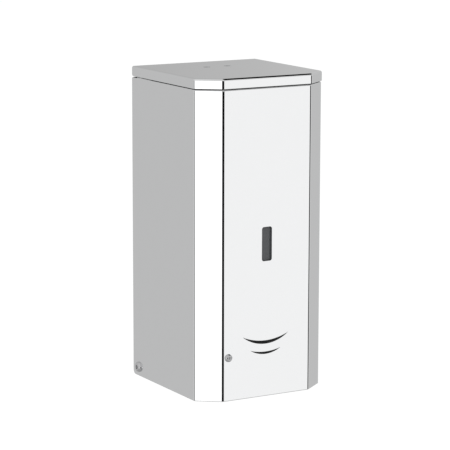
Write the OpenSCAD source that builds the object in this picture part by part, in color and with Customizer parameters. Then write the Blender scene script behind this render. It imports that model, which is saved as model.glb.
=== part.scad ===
/* [Cover] */
// Width of the folded cover across its sides
body_w = 127; // [118:1:153]
// Depth of the folded cover from the wall to its front face
body_d = 128.5; // [124:0.5:155]
// Height of the folded cover without its lid
body_h = 270.5; // [225:0.5:325]
// Width of each front bevel, measured across the cover
bevel_w = 20; // [16:1:24]
// Depth of each front bevel, measured from front to back
bevel_d = 15; // [12:1:18]
// Thickness of the cover's sheet
sheet_t = 1; // [0.8:0.1:1.2]
// Outside radius of the folds
fold_r = 3.6; // [2.5:0.1:4.5]

/* [Lid] */
// Height of the lid, top face included
lid_h = 9.5; // [9:0.1:12]
// How far the lid stands out past the cover on each side
lid_overhang = 0.5; // [0.3:0.1:0.8]
// Distance between the two key holes
key_pitch = 20.6; // [16:0.1:25]
// Radius of each key hole
key_hole_r = 2.9; // [2.2:0.1:3.2]
// Travel of the latch slide under the key
latch_travel = 3; // [2:0.5:4]

/* [Front] */
// Width of the level window
window_w = 10; // [8:1:12]
// Height of the level window
window_h = 30; // [24:1:36]
// Height of the window's lower edge above the cover's lower edge
window_z = 120; // [114:1:144]
// Distance of the front screw from the middle of the front
front_screw_x = 38; // [36:1:40]
// Height of the front screw above the cover's lower edge
front_screw_z = 38.4; // [34:0.2:47]
// Distance of the side screws from the wall
side_screw_y = 11.4; // [10:0.2:12.4]
// Height of the side screws above the cover's lower edge
side_screw_z = 8.4; // [8:0.2:10]

/* [Wall] */
// Distance between the wall screws across the back plate
wall_pitch_x = 80; // [68:1:88]
// Distance between the wall screws up the back plate
wall_pitch_z = 160; // [136:1:192]
// Height of the middle of the wall screws above the cover's lower edge
wall_z = 140; // [134:1:146]
// Radius of each wall screw hole
wall_hole_r = 2.75; // [2.3:0.05:3.3]

/* [Tank and pump] */
// Height of the shelf under the tank
shelf_z = 105; // [100:1:112]
// Wall of the tank
tank_t = 2; // [1.6:0.1:2.4]
// Number of teeth on each pump gear
gear_teeth = 12; // [10:1:14]
// Module of the pump gears
gear_module = 1; // [0.8:0.05:1.2]
// Width of the pump gears
gear_w = 6; // [5:0.5:7]
// Diameter of one battery cell
cell_d = 26.2; // [22:0.1:27]
// Length of one battery cell
cell_h = 50; // [42:1:56]
// Number of cells in the row
cell_count = 4; // [2:1:4]

/* [Hidden] */
$fn = 48;
eps = 0.01;
run_gap = 0.05;         // radial clearance of a pin that turns
move_gap = 0.4;         // space between parts that pass each other
half_w = body_w / 2;
plate_t = 1.5;          // back plate, shelf and base
screw_r = 2;            // inner screws
shelf_screw_x = [-44, 44];
base_screw_x = [-30, 30];
seam_gap = 0.7;         // between the cover and the lid
top_z = body_h + lid_h;
lid_under = top_z - sheet_t;
rim_w = 8;              // inward rim at the cover's top
cover_back = 0.8;       // space between the cover and the wall
lid_back = 1.8;         // space between the lid and the wall
hinge_y = 6.2;
hinge_z = top_z - 4;
hinge_pin_r = 1.25;
knuckle_r = 2.6;
hinge_x = 39;           // middle of each hinge ear
ear_t = 2.5;
leaf_t = 1;
plate_w = body_w - 2 * sheet_t - 1;
return_d = 16;
nut_r = 3.5;
nut_l = 8;
latch_y = 41.5;
latch_w = key_pitch + 2 * key_hole_r + 7;
bridge_z = body_h - 12.5;
bridge_t = 1.5;
tank_top = bridge_z - 2;
tank_half = half_w - 9.5;
tank_back = 26;
tank_front = body_d - 6.5;
mouth_half = 40;
mouth_back = 60;
mouth_front = tank_front - 16;
neck_z = body_h + 1.5;
shelf_under = shelf_z - plate_t;
spout_y = 92;
spigot_r = 6;
bore_r = 3.2;
gear_r = gear_teeth * gear_module / 2;
tip_r = gear_r + gear_module;
gear_z = 66;
pump_wall = 3;
pump_half_y = gear_r + tip_r + pump_wall;
pump_half_z = tip_r + pump_wall + 2;
pump_back_x = -gear_w / 2 - 3;
pump_face_x = gear_w / 2 + 0.2;
pump_cover_t = 3;
pump_top = gear_z + pump_half_z;
pump_foot = gear_z - pump_half_z;
barb_l = 9;
barb_r = bore_r + 1.4;
hose_t = 1.6;
shaft_r = 1;
idler_pin_r = 1.5;
motor_r = 10;
motor_l = 26;
base_z = 6;             // underside of the base plate
base_top = base_z + plate_t;
box_t = 1.6;
cell_pitch = cell_d + 0.8;
cell_row = (cell_count - 1) * cell_pitch + cell_d;
box_in_x = cell_row / 2 + 0.6;
box_in_y = cell_d / 2 + 0.5;
box_y = 36;
cell_foot = base_top + 3;
box_top = cell_foot + cell_h + 3.5;
door_axis_y = box_y - box_in_y - box_t - 2.3;
door_axis_z = 3.4;
door_t = 2;
door_pin_r = 1;
door_knuckle_r = 1.9;
door_half_x = box_in_x + box_t;
door_front = box_y + box_in_y + box_t;
sensor_y = 113;
board_y = tank_front - 5;
board_t = 1.6;
board_half = 34;
board_top = shelf_under - 5;
board_h = 56;
socket_w = 7;
socket_pitch = 9;
socket_end = pump_back_x - plate_t - 1;   // right end of the board's row of sockets
switch_x = -38;
switch_y = 76;
switch_travel = 4;
arc_depth = 0.3;

// The origin is the middle of the wall screws; every piece is drawn from the cover's lower edge.
module place() {
    translate([0, 0, -wall_z]) children();
}

function unit(v) = v / norm(v);

// Points of a round of radius r at corner b between the points a and c
function round_corner(a, b, c, r, steps = 8) =
    let (u = unit(a - b), v = unit(c - b), half = acos(u * v) / 2, sweep = 180 - 2 * half,
         centre = b + unit(u + v) * r / sin(half),
         from = b + u * r / tan(half) - centre, to = b + v * r / tan(half) - centre)
    [for (i = [0:steps]) let (s = i / steps)
        centre + (sin((1 - s) * sweep) * from + sin(s * sweep) * to) / sin(sweep)];

// Outline of the bevelled body: half width w, front face at -d, rear at -rear, inset by t
function body_outline(w, d, rear, t, r) =
    let (len = norm([bevel_w, bevel_d]), sx = w - t, fy = -(d - t),
         side_y = -(d - bevel_d) + t * (len - bevel_d) / bevel_w,
         front_x = w - bevel_w - t * (len - bevel_w) / bevel_d,
         right = concat([[sx, -rear]],
                        round_corner([sx, -rear], [sx, side_y], [front_x, fy], r),
                        round_corner([sx, side_y], [front_x, fy], [0, fy], r)),
         n = len(right))
    concat(right, [for (i = [n - 1:-1:0]) [-right[i][0], right[i][1]]]);

module body_slab(w, d, rear, t, r, z0, z1) {
    translate([0, 0, z0]) linear_extrude(z1 - z0) polygon(body_outline(w, d, rear, t, r));
}

// A box from its lowest and highest corners
module block(low, high) {
    translate(low) cube(high - low);
}

module both_sides() {
    children();
    mirror([1, 0, 0]) children();
}

module along_x(x0, x1, y, z, r) {
    translate([x0, y, z]) rotate([0, 90, 0]) cylinder(h = x1 - x0, r = r);
}

module along_y(y0, y1, x, z, r) {
    translate([x, y1, z]) rotate([90, 0, 0]) cylinder(h = y1 - y0, r = r);
}

// A button-head screw with its head's underside at z = 0 and its shank pointing down
module button_screw(shank_r, length, head_r, head_h, socket_r) {
    difference() {
        union() {
            translate([0, 0, -length]) cylinder(h = length + eps, r = shank_r);
            rotate_extrude() intersection() {
                translate([0, head_h - (head_r * head_r + head_h * head_h) / (2 * head_h)])
                    circle(r = (head_r * head_r + head_h * head_h) / (2 * head_h), $fn = 96);
                square([head_r, head_h]);
            }
        }
        translate([0, 0, head_h * 0.35]) cylinder(h = head_h, r = socket_r, $fn = 6);
    }
}

// A closed tube of eight sides along a list of points
module tube_path(points, r) {
    sides = 8;
    n = len(points);
    ref = unit([1, 0.31, 0.17]);
    function way(i) = unit(points[min(i + 1, n - 1)] - points[max(i - 1, 0)]);
    rings = [for (i = [0:n - 1]) let (t = way(i), u = unit(cross(t, ref)), v = cross(t, u))
        for (k = [0:sides - 1]) points[i] + r * (cos(k * 360 / sides) * u + sin(k * 360 / sides) * v)];
    quads = [for (i = [0:n - 2], k = [0:sides - 1]) let (m = (k + 1) % sides)
        [i * sides + k, i * sides + m, (i + 1) * sides + m, (i + 1) * sides + k]];
    polyhedron(rings, concat([[for (k = [sides - 1:-1:0]) k]], quads,
                             [[for (k = [0:sides - 1]) (n - 1) * sides + k]]));
}

// Points of a smooth curve through a list of points, steps to each stretch
function smooth(p, steps = 5) =
    let (n = len(p))
    concat([for (i = [0:n - 2], k = [0:steps - 1])
        let (s = k / steps, a = p[max(i - 1, 0)], b = p[i], c = p[i + 1], d = p[min(i + 2, n - 1)])
        0.5 * (2 * b + (c - a) * s + (2 * a - 5 * b + 4 * c - d) * s * s
               + (3 * b - a - 3 * c + d) * s * s * s)], [p[n - 1]]);

// ---- wall side ----

module wall_points() {
    for (x = [-wall_pitch_x / 2, wall_pitch_x / 2], z = [-wall_pitch_z / 2, wall_pitch_z / 2])
        translate([x, 0, wall_z + z]) children();
}

// Flat plate with two forward returns and two hinge ears
module back_plate() {
    half = plate_w / 2;
    place() color("silver") difference() {
        union() {
            block([-half, -plate_t, 4], [half, 0, body_h - 0.5]);
            both_sides() block([half - plate_t, -return_d, 4], [half, 0, body_h - 6.5]);
            both_sides() translate([hinge_x - ear_t / 2, 0, 0]) {
                block([0, -hinge_y - knuckle_r, body_h - 14.5], [ear_t, -hinge_y + knuckle_r, hinge_z]);
                block([0, -hinge_y - knuckle_r, body_h - 20.5], [ear_t, 0, body_h - 8.5]);
                along_x(0, ear_t, -hinge_y, hinge_z, knuckle_r);
            }
        }
        wall_points() along_y(-2 * plate_t, plate_t, 0, 0, wall_hole_r);
        for (x = shelf_screw_x) along_y(-2 * plate_t, 1, x, shelf_under - 8, screw_r);
        for (x = base_screw_x) along_y(-2 * plate_t, 1, x, base_z + 7, screw_r);
        both_sides() along_x(half - 4, half + 1, -side_screw_y, side_screw_z, nut_r - 0.5);
        along_x(-half, half, -hinge_y, hinge_z, hinge_pin_r + run_gap);
    }
}

// Rivet nuts in the two returns, one for each side screw
module nut_rivets() {
    half = plate_w / 2;
    place() color("dimgray") both_sides() difference() {
        union() {
            along_x(half - plate_t - nut_l, half - plate_t, -side_screw_y, side_screw_z, nut_r);
            along_x(half - plate_t, half, -side_screw_y, side_screw_z, nut_r - 0.5);
        }
        along_x(half - plate_t - nut_l - 1, half + 1, -side_screw_y, side_screw_z, 2.5);
    }
}

// Shelf under the tank: a rear flange, a front flange for the board and a hole for the spigot
module tank_shelf() {
    place() color("lightgray") difference() {
        union() {
            intersection() {
                body_slab(half_w - 2.5, tank_front, plate_t, 0, fold_r, shelf_under, shelf_z);
                block([-plate_w / 2 + plate_t, -tank_front, 0], [plate_w / 2 - plate_t, -plate_t, top_z]);
            }
            block([-52, -2 * plate_t, shelf_under - 15], [52, -plate_t, shelf_z]);
            block([-board_half, -tank_front, shelf_under - 18],
                  [board_half, -tank_front + plate_t, shelf_under + eps]);
        }
        translate([0, -spout_y, shelf_under - 1]) cylinder(h = 2 * plate_t + 1, r = spigot_r + 0.3);
        for (x = shelf_screw_x) along_y(-2 * plate_t - 1, 0, x, shelf_under - 8, screw_r);
        for (x = [-26, 26])
            along_y(-tank_front - 1, -tank_front + plate_t + 1, x, shelf_under - 12, 1.5);
    }
}

module shelf_screws() {
    place() color("gray") for (x = shelf_screw_x)
        translate([x, -2 * plate_t, shelf_under - 8]) rotate([90, 0, 0])
            button_screw(screw_r, 2 * plate_t - eps, 3.6, 2.1, 1.3);
}

// Floor of the body with the openings for the cells, nozzle, sensor, lamp and switch
module base_plate() {
    place() color("gray") difference() {
        union() {
            difference() {
                body_slab(half_w - 2, body_d - 2, plate_t, 0, fold_r, base_z, base_top);
                both_sides() block([half_w - 15, -return_d - 1, 0], [half_w, 0, 20]);
            }
            block([-40, -2 * plate_t, base_z], [40, -plate_t, base_z + 12]);
            both_sides() {
                block([door_half_x - 7, -door_axis_y - 2, door_axis_z],
                      [door_half_x - 3, -door_axis_y + 2, base_z + eps]);
                along_x(door_half_x - 7, door_half_x - 3, -door_axis_y, door_axis_z, 2);
            }
        }
        block([-box_in_x - box_t, -box_y - box_in_y - box_t, 0],
              [box_in_x + box_t, -box_y + box_in_y + box_t, 20]);
        translate([0, -spout_y, 0]) cylinder(h = 20, r = 8.2);
        translate([0, -sensor_y, 0]) for (x = [-6, 6]) translate([x, 0, 0]) cylinder(h = 20, r = 3.2);
        translate([24, -sensor_y, 0]) cylinder(h = 20, r = 2.6);
        block([switch_x - 5, -switch_y - 2.5, 0], [switch_x + 5, -switch_y + 2.5, 20]);
        for (x = base_screw_x) along_y(-2 * plate_t - 1, 0, x, base_z + 7, screw_r);
        along_x(-door_half_x, door_half_x, -door_axis_y, door_axis_z, door_pin_r);
        translate([-front_screw_x + 1, -body_d + 12, 0]) cylinder(h = 20, r = screw_r);
    }
}

module base_screws() {
    place() color("gray") {
        for (x = base_screw_x) translate([x, -2 * plate_t, base_z + 7]) rotate([90, 0, 0])
            button_screw(screw_r, 2 * plate_t - eps, 3.6, 2.1, 1.3);
        translate([-front_screw_x + 1, -body_d + 12, base_top + plate_t])
            button_screw(screw_r, 2 * plate_t, 3.6, 2.1, 1.3);
    }
}

// ---- cover ----

// A crescent between two circles that share its tips; c is half its span
module crescent(c, tip_z, low_z, high_z) {
    low = tip_z - low_z;
    high = tip_z - high_z;
    low_r = (c * c + low * low) / (2 * low);
    high_r = (c * c + high * high) / (2 * high);
    translate([0, -body_d + arc_depth, 0]) rotate([90, 0, 0]) difference() {
        translate([0, low_z + low_r, 0]) cylinder(h = arc_depth, r = low_r, $fn = 180);
        translate([0, high_z + high_r, -1]) cylinder(h = arc_depth + 2, r = high_r, $fn = 180);
        translate([-2 * low_r, tip_z, -1]) cube([4 * low_r, 2 * low_r, arc_depth + 2]);
    }
}

module crescents() {
    translate([-0.9, 0, 0]) {
        crescent(22.8, 54.9, 46.9, 49.9);
        crescent(15.2, 42.1, 37.8, 39.9);
    }
}

module window_slot(y0, y1) {
    r = 2;
    w = window_w / 2;
    for (x = [-w + r, w - r], z = [window_z + r, window_z + window_h - r]) along_y(y0, y1, x, z, r);
    block([-w, y0, window_z + r], [w, y1, window_z + window_h - r]);
    block([-w + r, y0, window_z], [w - r, y1, window_z + window_h]);
}

// One folded sheet: two sides, two bevels, the front and an inward rim along the top
module cover_shell() {
    corner = 4.5;
    place() color("whitesmoke") difference() {
        union() {
            difference() {
                body_slab(half_w, body_d, cover_back, 0, fold_r, 0, body_h);
                body_slab(half_w, body_d, -1, sheet_t, fold_r - sheet_t + 0.01, -1, body_h + 1);
            }
            difference() {
                body_slab(half_w, body_d, 14, sheet_t / 2, fold_r, body_h - sheet_t, body_h);
                body_slab(half_w, body_d, 13, rim_w, fold_r, body_h - 2 * sheet_t, body_h + 1);
            }
        }
        window_slot(-body_d - 1, -body_d + sheet_t + 1);
        crescents();
        both_sides() along_x(half_w - sheet_t - 1, half_w + 1, -side_screw_y, side_screw_z, 2.75);
        along_y(-body_d - 1, -body_d + sheet_t + 1, -front_screw_x, front_screw_z, 2.2);
        both_sides() difference() {
            block([half_w - sheet_t - 1, -cover_back - corner, -1], [half_w + 1, 1, corner]);
            along_x(half_w - sheet_t - 2, half_w + 2, -cover_back - corner, corner, corner);
        }
        both_sides() block([half_w - sheet_t - 1, -hinge_y - 3.4, body_h - 0.8], [half_w + 1, 1, body_h + 1]);
    }
}

module arc_marks() {
    place() color("black") crescents();
}

// Clear window: a plate behind the front, hollowed behind the slot
module level_window() {
    back = -body_d + sheet_t;
    place() color([0.35, 0.37, 0.38, 0.6]) difference() {
        block([-window_w / 2 - 4, back, window_z - 4],
              [window_w / 2 + 4, back + 2.5, window_z + window_h + 4]);
        window_slot(back - 1, back + 1);
    }
}

module side_screws() {
    place() color("silver") both_sides()
        translate([half_w, -side_screw_y, side_screw_z]) rotate([0, 90, 0])
            button_screw(2.5, 9, 4.75, 2.75, 1.7);
}

module front_screw() {
    place() color("silver")
        translate([-front_screw_x, -body_d, front_screw_z]) rotate([90, 0, 0])
            button_screw(2, 7, 3.5, 2, 1.3);
}

// Angle bracket that ties the cover's front to the floor
module front_bracket() {
    front = -body_d + sheet_t;
    x0 = -front_screw_x - 4;
    place() color("lightgray") difference() {
        union() {
            block([x0, front, base_top], [x0 + 10, front + plate_t, front_screw_z + 8]);
            block([x0, front, base_top], [x0 + 10, front + 16, base_top + plate_t]);
        }
        along_y(front - 1, front + plate_t + 1, -front_screw_x, front_screw_z, 2.2);
        translate([-front_screw_x + 1, -body_d + 12, 0]) cylinder(h = 20, r = screw_r);
    }
}

module front_nut() {
    back = -body_d + sheet_t + plate_t;
    place() color("dimgray") difference() {
        translate([-front_screw_x, back, front_screw_z]) rotate([-90, 0, 0])
            cylinder(h = 3.2, r = 4.04, $fn = 6);
        along_y(back - 1, back + 5, -front_screw_x, front_screw_z, 2);
    }
}

// ---- soap path ----

// Outline of the tank, inset by t
function tank_outline(t) =
    [[-tank_half + t, -tank_back - t], [-tank_half + t, -tank_front + 12 + t / 2],
     [-tank_half + 16 + t / 2, -tank_front + t], [tank_half - 16 - t / 2, -tank_front + t],
     [tank_half - t, -tank_front + 12 + t / 2], [tank_half - t, -tank_back - t]];

module tank() {
    place() color([0.93, 0.94, 0.92, 0.75]) difference() {
        union() {
            translate([0, 0, shelf_z]) linear_extrude(tank_top - shelf_z) polygon(tank_outline(0));
            block([-mouth_half - tank_t, -mouth_front - tank_t, tank_top - eps],
                  [mouth_half + tank_t, -mouth_back + tank_t, neck_z]);
            translate([0, -spout_y, shelf_under - 7]) cylinder(h = shelf_z - shelf_under + 8, r = spigot_r);
            translate([0, -spout_y, pump_top + 8])
                cylinder(h = shelf_under - pump_top - 14, r = barb_r);
        }
        translate([0, 0, shelf_z + tank_t])
            linear_extrude(tank_top - shelf_z - 2 * tank_t) polygon(tank_outline(tank_t));
        block([-mouth_half, -mouth_front, tank_top - 2 * tank_t], [mouth_half, -mouth_back, neck_z + 1]);
        translate([0, -spout_y, pump_top]) cylinder(h = shelf_z, r = bore_r - 0.4);
    }
}

module outlet_seal() {
    place() color("black") translate([0, -spout_y, shelf_under - 1.5]) difference() {
        cylinder(h = 1.5, r = 10);
        translate([0, 0, -1]) cylinder(h = 4, r = spigot_r);
    }
}

module outlet_nut() {
    place() color("dimgray") translate([0, -spout_y, shelf_under - 6]) difference() {
        cylinder(h = 4.5, r = 11.5, $fn = 6);
        translate([0, 0, -1]) cylinder(h = 8, r = spigot_r);
    }
}

// A straight hose around the spigot above it and the barb below it
module hose(z0, z1) {
    translate([0, -spout_y, z0]) difference() {
        cylinder(h = z1 - z0, r = barb_r + hose_t);
        translate([0, 0, -1]) cylinder(h = z1 - z0 + 2, r = barb_r);
    }
}

module inlet_hose() {
    place() color("ivory") hose(pump_top + 0.5, shelf_under - 8.5);
}

module outlet_hose() {
    place() color("ivory") hose(pump_foot - barb_l - 9, pump_foot - 0.5);
}

module hose_clips() {
    place() color("silver")
        for (z = [pump_top + 2, shelf_under - 13, pump_foot - 5, pump_foot - barb_l - 7])
            translate([0, -spout_y, z]) difference() {
                cylinder(h = 2, r = barb_r + hose_t + 0.8);
                translate([0, 0, -1]) cylinder(h = 4, r = barb_r + hose_t);
            }
}

nozzle_top = pump_foot - barb_l;

// Spout: a flanged tube through the floor with a tapered tip
module nozzle() {
    place() color("dimgray") translate([0, -spout_y, 0]) difference() {
        union() {
            translate([0, 0, 2]) cylinder(h = base_z - 2.01, r = 11);
            translate([0, 0, base_z - 0.02]) cylinder(h = 12, r = 8);
            translate([0, 0, 15]) cylinder(h = nozzle_top - 15 - 10, r = 6);
            translate([0, 0, nozzle_top - 11]) cylinder(h = 10, r = barb_r);
            translate([0, 0, 0.5]) cylinder(h = 2, r1 = 5.5, r2 = 8);
        }
        cylinder(h = 200, r = bore_r - 0.4);
        translate([0, 0, -1]) cylinder(h = 11, r = 4.2);
    }
}

module nozzle_nut() {
    place() color("gray") translate([0, -spout_y, base_top]) difference() {
        cylinder(h = 5, r = 12.5, $fn = 6);
        translate([0, 0, -1]) cylinder(h = 8, r = 8);
    }
}

module drip_valve() {
    place() color("orangered") translate([0, -spout_y, 1.6]) difference() {
        union() {
            cylinder(h = 5.4, r = 3);
            translate([0, 0, 5.4]) cylinder(h = 3, r = 4.2);
        }
        translate([0, 0, 2]) cylinder(h = 10, r = 2);
        block([-1.8, -0.25, -1], [1.8, 0.25, 3]);
    }
}

// ---- pump ----

// Plate that hangs from the shelf and carries the pump and the motor
module pump_bracket() {
    x1 = pump_back_x;
    place() color("lightgray") difference() {
        union() {
            block([x1 - plate_t, -spout_y - pump_half_y, pump_foot],
                  [x1, -spout_y + pump_half_y, shelf_under]);
            block([x1 - 18, -spout_y + 2, shelf_under - plate_t],
                  [x1, -spout_y + pump_half_y, shelf_under]);
        }
        along_x(x1 - 3, x1 + 1, -spout_y + gear_r, gear_z, 3);
        translate([0, -spout_y, pump_top + 0.5]) cylinder(h = shelf_z, r = 12.6);
    }
}

module pump_corners() {
    for (y = [-1, 1], z = [-1, 1])
        translate([0, -spout_y + y * (pump_half_y - 2.4), gear_z + z * (pump_half_z - 2.4)]) children();
}

module pump_housing() {
    place() color("darkslategray") difference() {
        union() {
            block([pump_back_x, -spout_y - pump_half_y, pump_foot],
                  [pump_face_x, -spout_y + pump_half_y, pump_top]);
            translate([0, -spout_y, pump_foot - barb_l]) cylinder(h = barb_l, r = barb_r);
            translate([0, -spout_y, pump_top]) cylinder(h = 7, r = barb_r);
        }
        for (y = [-gear_r, gear_r])
            along_x(-gear_w / 2 - 0.2, pump_face_x + 1, -spout_y + y, gear_z, tip_r + 0.2);
        along_x(pump_back_x - 1, 0, -spout_y + gear_r, gear_z, shaft_r + run_gap);
        along_x(pump_back_x - 1, 0, -spout_y - gear_r, gear_z, idler_pin_r);
        translate([0, -spout_y, pump_foot - barb_l - 1]) cylinder(h = pump_top, r = bore_r - 0.7);
        pump_corners() along_x(pump_back_x - 1, pump_face_x + 1, 0, 0, 1.25);
    }
}

module pump_gasket() {
    place() color("black") difference() {
        block([pump_face_x, -spout_y - pump_half_y, pump_foot],
              [pump_face_x + 0.8, -spout_y + pump_half_y, pump_top]);
        for (y = [-gear_r, gear_r])
            along_x(pump_face_x - 1, pump_face_x + 2, -spout_y + y, gear_z, tip_r + 0.4);
        pump_corners() along_x(pump_face_x - 1, pump_face_x + 2, 0, 0, 1.25);
    }
}

module pump_cover() {
    x0 = pump_face_x + 0.8;
    place() color("slategray") difference() {
        union() {
            block([x0, -spout_y - pump_half_y, pump_foot],
                  [x0 + pump_cover_t, -spout_y + pump_half_y, pump_top]);
            along_x(x0 + pump_cover_t - eps, x0 + pump_cover_t + 1.5, -spout_y + gear_r, gear_z, 5);
        }
        along_x(x0 - 1, x0 + pump_cover_t, -spout_y - gear_r, gear_z, idler_pin_r);
        pump_corners() along_x(x0 - 1, x0 + pump_cover_t + 2, 0, 0, 1.25);
    }
}

module pump_screws() {
    x0 = pump_face_x + 0.8 + pump_cover_t;
    place() color("silver") pump_corners() translate([x0, 0, 0]) rotate([0, 90, 0])
        button_screw(1.25, x0 - pump_back_x - 0.5, 2.3, 1.6, 0.8);
}

// Involute function of a pressure angle, in degrees
function involute(a) = tan(a) * 180 / PI - a;

// Half the angle that a tooth takes up at radius r
function tooth_half(r) =
    let (pressure = 25, base_r = gear_r * cos(pressure), a = r > base_r ? acos(base_r / r) : 0)
    90 / gear_teeth - 1.6 + involute(pressure) - involute(a);

// Spur gear with involute teeth along X; a tooth points at the angle turn
module gear(turn, hole_r) {
    root_r = gear_r - 1.2 * gear_module;
    outer_r = tip_r - 0.15;
    flank = [for (i = [0:7]) root_r + (outer_r - root_r) * i / 7];
    outline = [for (k = [0:gear_teeth - 1]) let (mid = turn + k * 360 / gear_teeth)
        each concat([for (r = flank) let (a = mid - tooth_half(r)) r * [cos(a), sin(a)]],
                    [for (i = [7:-1:0]) let (r = flank[i], a = mid + tooth_half(r))
                        r * [cos(a), sin(a)]])];
    translate([-gear_w / 2, 0, 0]) rotate([90, 0, 90]) difference() {
        linear_extrude(gear_w) polygon(outline);
        translate([0, 0, -1]) cylinder(h = gear_w + 2, r = hole_r);
    }
}

module drive_gear() {
    place() color("goldenrod") translate([0, -spout_y + gear_r, gear_z]) gear(180, shaft_r);
}

module idler_gear() {
    place() color("goldenrod") translate([0, -spout_y - gear_r, gear_z])
        gear(180 / gear_teeth, idler_pin_r + run_gap);
}

motor_front = pump_back_x - plate_t;

module motor_shaft() {
    place() color("silver")
        along_x(motor_front - motor_l - 1, gear_w / 2, -spout_y + gear_r, gear_z, shaft_r);
}

module idler_pin() {
    place() color("silver") along_x(pump_back_x, pump_face_x + 0.8 + pump_cover_t - 0.5,
                                    -spout_y - gear_r, gear_z, idler_pin_r);
}

// Round motor can with two flats and a boss on its front
module motor_can() {
    place() color("silver") translate([0, -spout_y + gear_r, gear_z]) difference() {
        union() {
            intersection() {
                along_x(motor_front - motor_l, motor_front, 0, 0, motor_r);
                block([-100, -motor_r, -7.7], [0, motor_r, 7.7]);
            }
            along_x(motor_front - eps, motor_front + plate_t - 0.2, 0, 0, 2.9);
        }
        along_x(motor_front - motor_l - 1, motor_front + 5, 0, 0, shaft_r + run_gap);
        along_x(motor_front - motor_l - 1, motor_front - 1.5, 0, 0, motor_r - 1.2);
    }
}

// Plastic end of the motor with its rear bush and two tabs
module motor_cap() {
    place() color("black") translate([0, -spout_y + gear_r, gear_z]) {
        difference() {
            union() {
                intersection() {
                    along_x(motor_front - motor_l - 2, motor_front - motor_l, 0, 0, motor_r);
                    block([-100, -motor_r, -7.7], [0, motor_r, 7.7]);
                }
                along_x(motor_front - motor_l - 4, motor_front - motor_l - 2 + eps, 0, 0, 3);
            }
            along_x(motor_front - motor_l - 3, motor_front - motor_l + 1, 0, 0, shaft_r + run_gap);
        }
        for (y = [-6, 6]) block([motor_front - motor_l - 6, y - 1.5, -0.3],
                                [motor_front - motor_l - 2 + eps, y + 1.5, 0.3]);
    }
}

// ---- electrics ----

module cell_places() {
    for (i = [0:cell_count - 1])
        translate([(i - (cell_count - 1) / 2) * cell_pitch, -box_y, 0]) children();
}

// Box that stands in the floor, open below
module battery_box() {
    place() color("dimgray") difference() {
        block([-box_in_x - box_t, -box_y - box_in_y - box_t, base_z],
              [box_in_x + box_t, -box_y + box_in_y + box_t, box_top]);
        block([-box_in_x, -box_y - box_in_y, base_z - 1],
              [box_in_x, -box_y + box_in_y, box_top - box_t]);
    }
}

module battery_cells() {
    place() color("darkolivegreen") cell_places() {
        translate([0, 0, cell_foot]) cylinder(h = cell_h - 1.5, r = cell_d / 2);
        translate([0, 0, cell_foot + cell_h - 1.5 - eps]) cylinder(h = 1.5, r = 3.2);
    }
}

// Contact plates on the box's roof
module battery_contacts() {
    roof = box_top - box_t;
    place() color("silver") cell_places() {
        block([-5, -5, roof - 0.5], [5, 5, roof]);
        translate([0, 0, cell_foot + cell_h]) cylinder(h = roof - 0.5 - cell_foot - cell_h, r = 2.5);
    }
}

// Door under the cells, with a knuckle along its rear edge
module battery_door() {
    knuckle = door_half_x - 8;
    place() color("dimgray") difference() {
        union() {
            block([-door_half_x, -door_front, door_axis_z],
                  [door_half_x, -door_axis_y - 2.4, door_axis_z + door_t]);
            block([-knuckle, -door_axis_y - 3, door_axis_z],
                  [knuckle, -door_axis_y, door_axis_z + 1.8]);
            along_x(-knuckle, knuckle, -door_axis_y, door_axis_z, door_knuckle_r);
            block([-12, -door_front + 4, door_axis_z - 1], [12, -door_front + 5.5, door_axis_z + eps]);
            cell_places() translate([0, 0, door_axis_z + door_t - eps])
                cylinder(h = cell_foot - 0.3 - door_axis_z - door_t, r = 5);
        }
        along_x(-knuckle - 1, knuckle + 1, -door_axis_y, door_axis_z, door_pin_r + run_gap);
    }
}

module door_pin() {
    place() color("silver")
        along_x(-door_half_x + 2, door_half_x - 2, -door_axis_y, door_axis_z, door_pin_r);
}

module sensor_housing() {
    place() color("black") difference() {
        block([-14, -sensor_y - 8, base_top], [14, -sensor_y + 8, base_top + 16]);
        for (x = [-6, 6]) translate([x, -sensor_y, base_top - 1]) cylinder(h = 12, r = 2.5);
    }
}

module sensor_lenses() {
    place() color([0.25, 0.05, 0.08]) for (x = [-6, 6]) translate([x, -sensor_y, 0]) {
        translate([0, 0, base_z - 1]) cylinder(h = plate_t + 1, r = 3.1);
        translate([0, 0, base_top - eps]) cylinder(h = 8, r = 2.5);
        intersection() {
            translate([0, 0, base_z + 2.4]) sphere(r = 4.6);
            translate([0, 0, base_z - 3]) cylinder(h = 2.1, r = 3.1);
        }
    }
}

module indicator_lamp() {
    place() color("limegreen") translate([24, -sensor_y, 0]) {
        translate([0, 0, base_z - 0.5]) cylinder(h = 7, r = 2.5);
        translate([0, 0, base_z - 0.5]) sphere(r = 2.5);
        translate([0, 0, base_top]) cylinder(h = 1, r = 3.2);
    }
}

module control_board() {
    y0 = -board_y + 2.5;
    place() color("darkgreen") difference() {
        block([-board_half, y0, board_top - board_h], [board_half, y0 + board_t, board_top]);
        for (x = [-26, 26]) along_y(y0 - 1, y0 + board_t + 1, x, shelf_under - 12, 1.5);
    }
}

// Chip, relay, capacitors and sockets on the board's rear
module board_parts() {
    y0 = -board_y + 2.5 + board_t;
    z0 = board_top - board_h;
    place() color("black") {
        block([-6, y0, pump_top + 1], [8, y0 + 2.2, pump_top + 13]);
        block([-30, y0, z0 + 6], [-18, y0 + 3.5, z0 + 20]);
        for (x = [18, 27]) along_y(y0, y0 + 5.5, x, z0 + 12, 3);
        for (i = [0:2]) let (x = socket_end - i * socket_pitch)
            block([x - socket_w, y0, z0 + 26], [x, y0 + 4, z0 + 31]);
        for (i = [0:4]) block([14 + i * 4, y0, z0 + 24], [16 + i * 4, y0 + 0.9, z0 + 27]);
    }
}

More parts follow.
